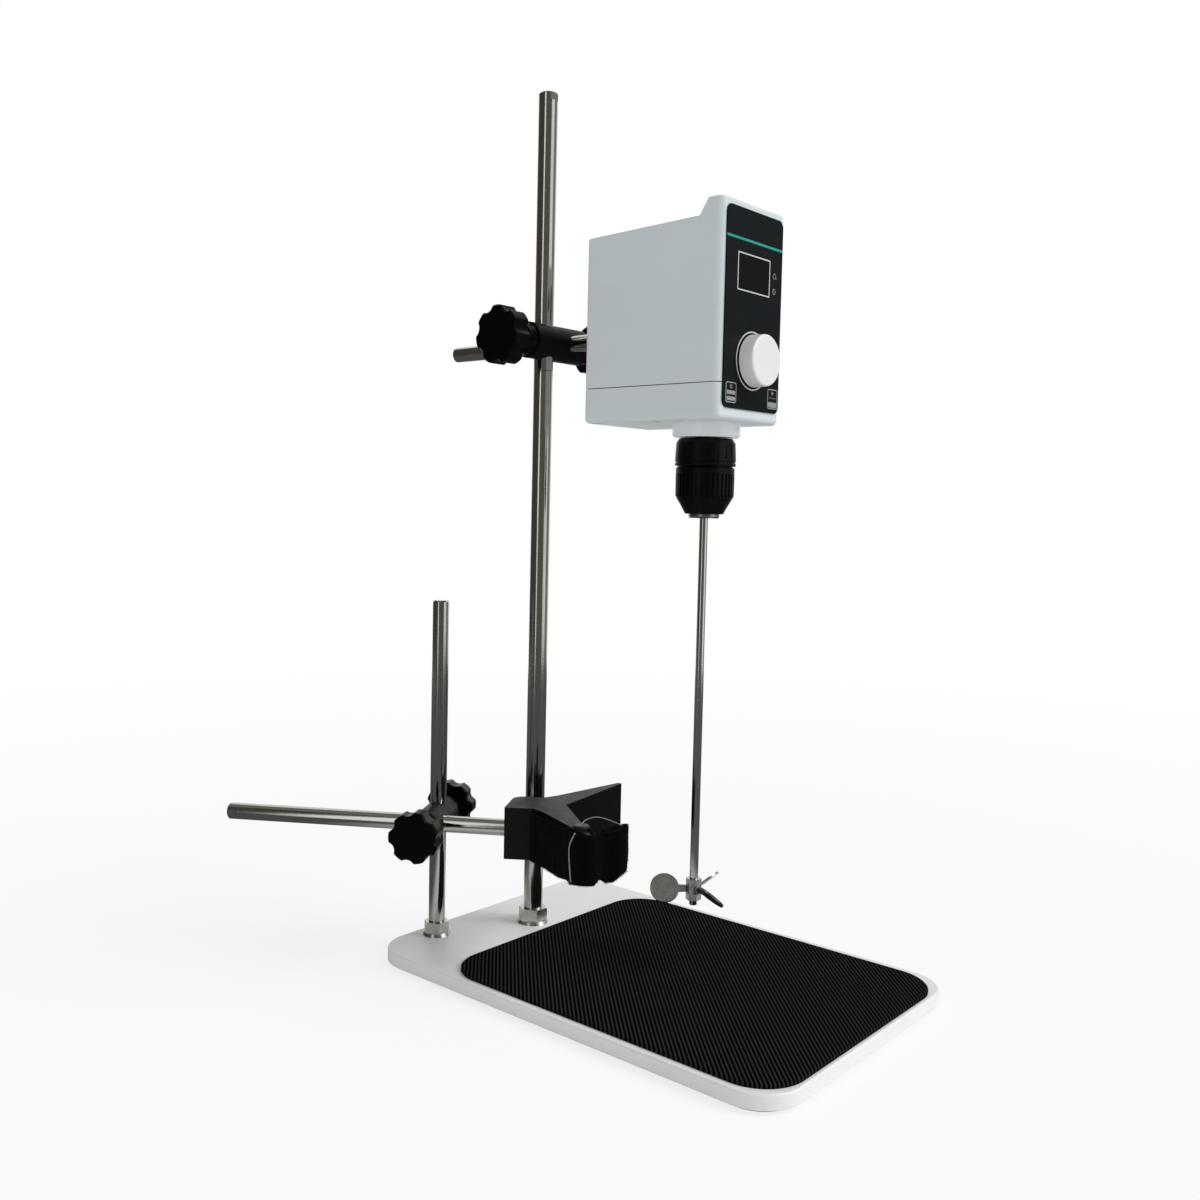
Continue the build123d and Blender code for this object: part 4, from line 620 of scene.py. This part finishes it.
# two grey tubes are painted highlights where light catches the strap's edges: one down the outside of roll A,
# one arcing over the rolls' upper edge
side_highlight = highlight_tube(((50.3, -65.9, 101.4), (47.1, -62.9, 94.0), (46.9, -62.7, 86.5), (48.4, -64.5, 73.4)),
                      0.00035)
piece("strap_side_highlight", side_highlight, strap_edge_highlight, "vessel_clamp")
rim_highlight = highlight_tube(((50.0, -52.0, 100.4), (53.0, -46.0, 103.6), (60.0, -44.0, 105.0),
                            (71.0, -46.0, 102.6), (74.0, -47.0, 101.0)), 0.00025)
piece("strap_rim_highlight", rim_highlight, strap_edge_highlight, "vessel_clamp")


# ---------------------------------------------------------------- studio helpers
def combine(tree, operation, first, second):
    """The output of a math node over two values."""
    made = tree.nodes.new("ShaderNodeMath")
    made.operation = operation
    tree.links.new(first, made.inputs[0])
    tree.links.new(second, made.inputs[1])
    return made.outputs["Value"]


def blend(tree, share, first, second):
    """A mix of two shaders."""
    mix = tree.nodes.new("ShaderNodeMixShader")
    tree.links.new(share, mix.inputs["Fac"])
    tree.links.new(first, mix.inputs[1])
    tree.links.new(second, mix.inputs[2])
    return mix.outputs["Shader"]


def studio_mesh(name, corners, faces):
    """A mesh object of the studio, for the floor and the boards."""
    mesh = bpy.data.meshes.new(name)
    mesh.from_pydata(corners, [], faces)
    made = bpy.data.objects.new(name, mesh)
    bpy.context.scene.collection.objects.link(made)
    return made


# ---------------------------------------------------------------- floor
# Pale and matt. For the camera it fades to plain white with distance. Mirrors see it as it is under the
# object, dark beyond that, and white far away.
FLOOR_HALF, FLOOR_Z = 6.0, -0.0002
FLOOR_GLOW = 0.78                 # share of plain white that the camera sees near the object
MIRRORED_GREY = 0.12
CAMERA_FADE = (0.3, 1.4)          # distances over which the camera sees it turn white
MIRRORS_DARK, MIRRORS_WHITE = (0.17, 0.24), (1.25, 1.4)    # over which mirrors see it turn dark and white
floor = studio_mesh("floor", [(x * FLOOR_HALF, y * FLOOR_HALF, FLOOR_Z)
                              for x, y in ((-1, -1), (1, -1), (1, 1), (-1, 1))], [(0, 1, 2, 3)])
floor_material = bpy.data.materials.new("floor_pale")
floor_material.use_nodes = True
tree = floor_material.node_tree
shader = tree.nodes["Principled BSDF"]
shader.inputs["Base Color"].default_value = (0.95, 0.95, 0.95, 1)
shader.inputs["Roughness"].default_value = 0.9
shader.inputs["Specular IOR Level"].default_value = 0.0
position = tree.nodes.new("ShaderNodeTexCoord")
distance = tree.nodes.new("ShaderNodeVectorMath")
distance.operation = "LENGTH"
tree.links.new(position.outputs["Object"], distance.inputs[0])


def by_distance(start, end, low, high):
    """A value that runs from low to high as the distance from the object grows."""
    spread = tree.nodes.new("ShaderNodeMapRange")
    for key, value in (("From Min", start), ("From Max", end), ("To Min", low), ("To Max", high)):
        spread.inputs[key].default_value = value
    tree.links.new(distance.outputs["Value"], spread.inputs["Value"])
    return spread.outputs["Result"]


path = tree.nodes.new("ShaderNodeLightPath")
glow = tree.nodes.new("ShaderNodeEmission")
mirrored = tree.nodes.new("ShaderNodeEmission")
tree.links.new(by_distance(*MIRRORS_WHITE, MIRRORED_GREY, 1.0), mirrored.inputs["Strength"])
in_mirrors = combine(tree, "MULTIPLY", path.outputs["Is Glossy Ray"], by_distance(*MIRRORS_DARK, 0.0, 1.0))
to_camera = combine(tree, "MULTIPLY", path.outputs["Is Camera Ray"],
                    by_distance(*CAMERA_FADE, FLOOR_GLOW, 1.0))
floor_shader = blend(tree, in_mirrors, shader.outputs["BSDF"], mirrored.outputs["Emission"])
floor_shader = blend(tree, to_camera, floor_shader, glow.outputs["Emission"])
tree.links.new(floor_shader, tree.nodes["Material Output"].inputs["Surface"])
floor.data.materials.append(floor_material)

# ---------------------------------------------------------------- boards that only mirrors see
CARD_R, CARD_TOP, CARD_STEPS = 1.3, 2.0, 24
CARD_Y = 0.05                     # the boards stand round (0, CARD_Y)
CAMERA_HEADING = degrees(atan2(CAMERA_AT.y - CARD_Y, CAMERA_AT.x))


def card(name, start, end, grey, overhead=False):
    """A dark board, upright between two headings counted from the camera's, or a disc overhead."""
    inner_r, inner_z = (0.0, CARD_TOP) if overhead else (CARD_R, 0.0)
    corners = []
    for step in range(CARD_STEPS + 1):
        heading = radians(CAMERA_HEADING + start + (end - start) * step / CARD_STEPS)
        for radius, z in ((inner_r, inner_z), (CARD_R, CARD_TOP)):
            corners.append((radius * cos(heading), CARD_Y + radius * sin(heading), z))
    faces = [(2 * step, 2 * step + 2, 2 * step + 3, 2 * step + 1) for step in range(CARD_STEPS)]
    board = studio_mesh(name, corners, faces)
    paint = bpy.data.materials.new(name)
    paint.use_nodes = True
    paint.node_tree.nodes.clear()
    light = paint.node_tree.nodes.new("ShaderNodeEmission")
    light.inputs["Color"].default_value = (*grey, 1)
    surface = paint.node_tree.nodes.new("ShaderNodeOutputMaterial")
    paint.node_tree.links.new(light.outputs["Emission"], surface.inputs["Surface"])
    board.data.materials.append(paint)
    board.visible_camera = False
    board.visible_diffuse = False
    board.visible_shadow = False
    board.visible_transmission = False


card("left_card", -135, -38, (0.075, 0.07, 0.06))
card("front_card", -25, 46, (0.13, 0.125, 0.11))
card("right_card", 86, 130, (0.26, 0.26, 0.25))
card("overhead_card", -180, 180, (0.22, 0.22, 0.21), overhead=True)

# ---------------------------------------------------------------- world and lamps
world = bpy.data.worlds.new("studio")
bpy.context.scene.world = world
world.use_nodes = True
tree = world.node_tree
ambient = tree.nodes["Background"]
ambient.inputs["Color"].default_value = (0.97, 0.985, 1.0, 1)
ambient.inputs["Strength"].default_value = 0.42
white = tree.nodes.new("ShaderNodeBackground")
white.inputs["Color"].default_value = (1, 1, 1, 1)
white.inputs["Strength"].default_value = 1.0
path = tree.nodes.new("ShaderNodeLightPath")
sees_white = combine(tree, "MAXIMUM", path.outputs["Is Camera Ray"], path.outputs["Is Glossy Ray"])
sees_white = combine(tree, "MAXIMUM", sees_white, path.outputs["Is Transmission Ray"])
backdrop = blend(tree, sees_white, ambient.outputs["Background"], white.outputs["Background"])
tree.links.new(backdrop, tree.nodes["World Output"].inputs["Surface"])


def sun(name, toward, strength, angle):
    """Soft distant lamp shining along a direction."""
    lamp = bpy.data.objects.new(name, bpy.data.lights.new(name, "SUN"))
    lamp.data.energy = strength
    lamp.data.angle = radians(angle)
    lamp.rotation_mode = "QUATERNION"
    lamp.rotation_quaternion = Vector(toward).to_track_quat("-Z", "Y")
    bpy.context.scene.collection.objects.link(lamp)


sun("key", (-0.45, 0.8, -0.75), 1.85, 35)
sun("fill", (0.9, 0.5, -0.35), 0.25, 60)

bpy.context.scene.view_settings.view_transform = "Standard"
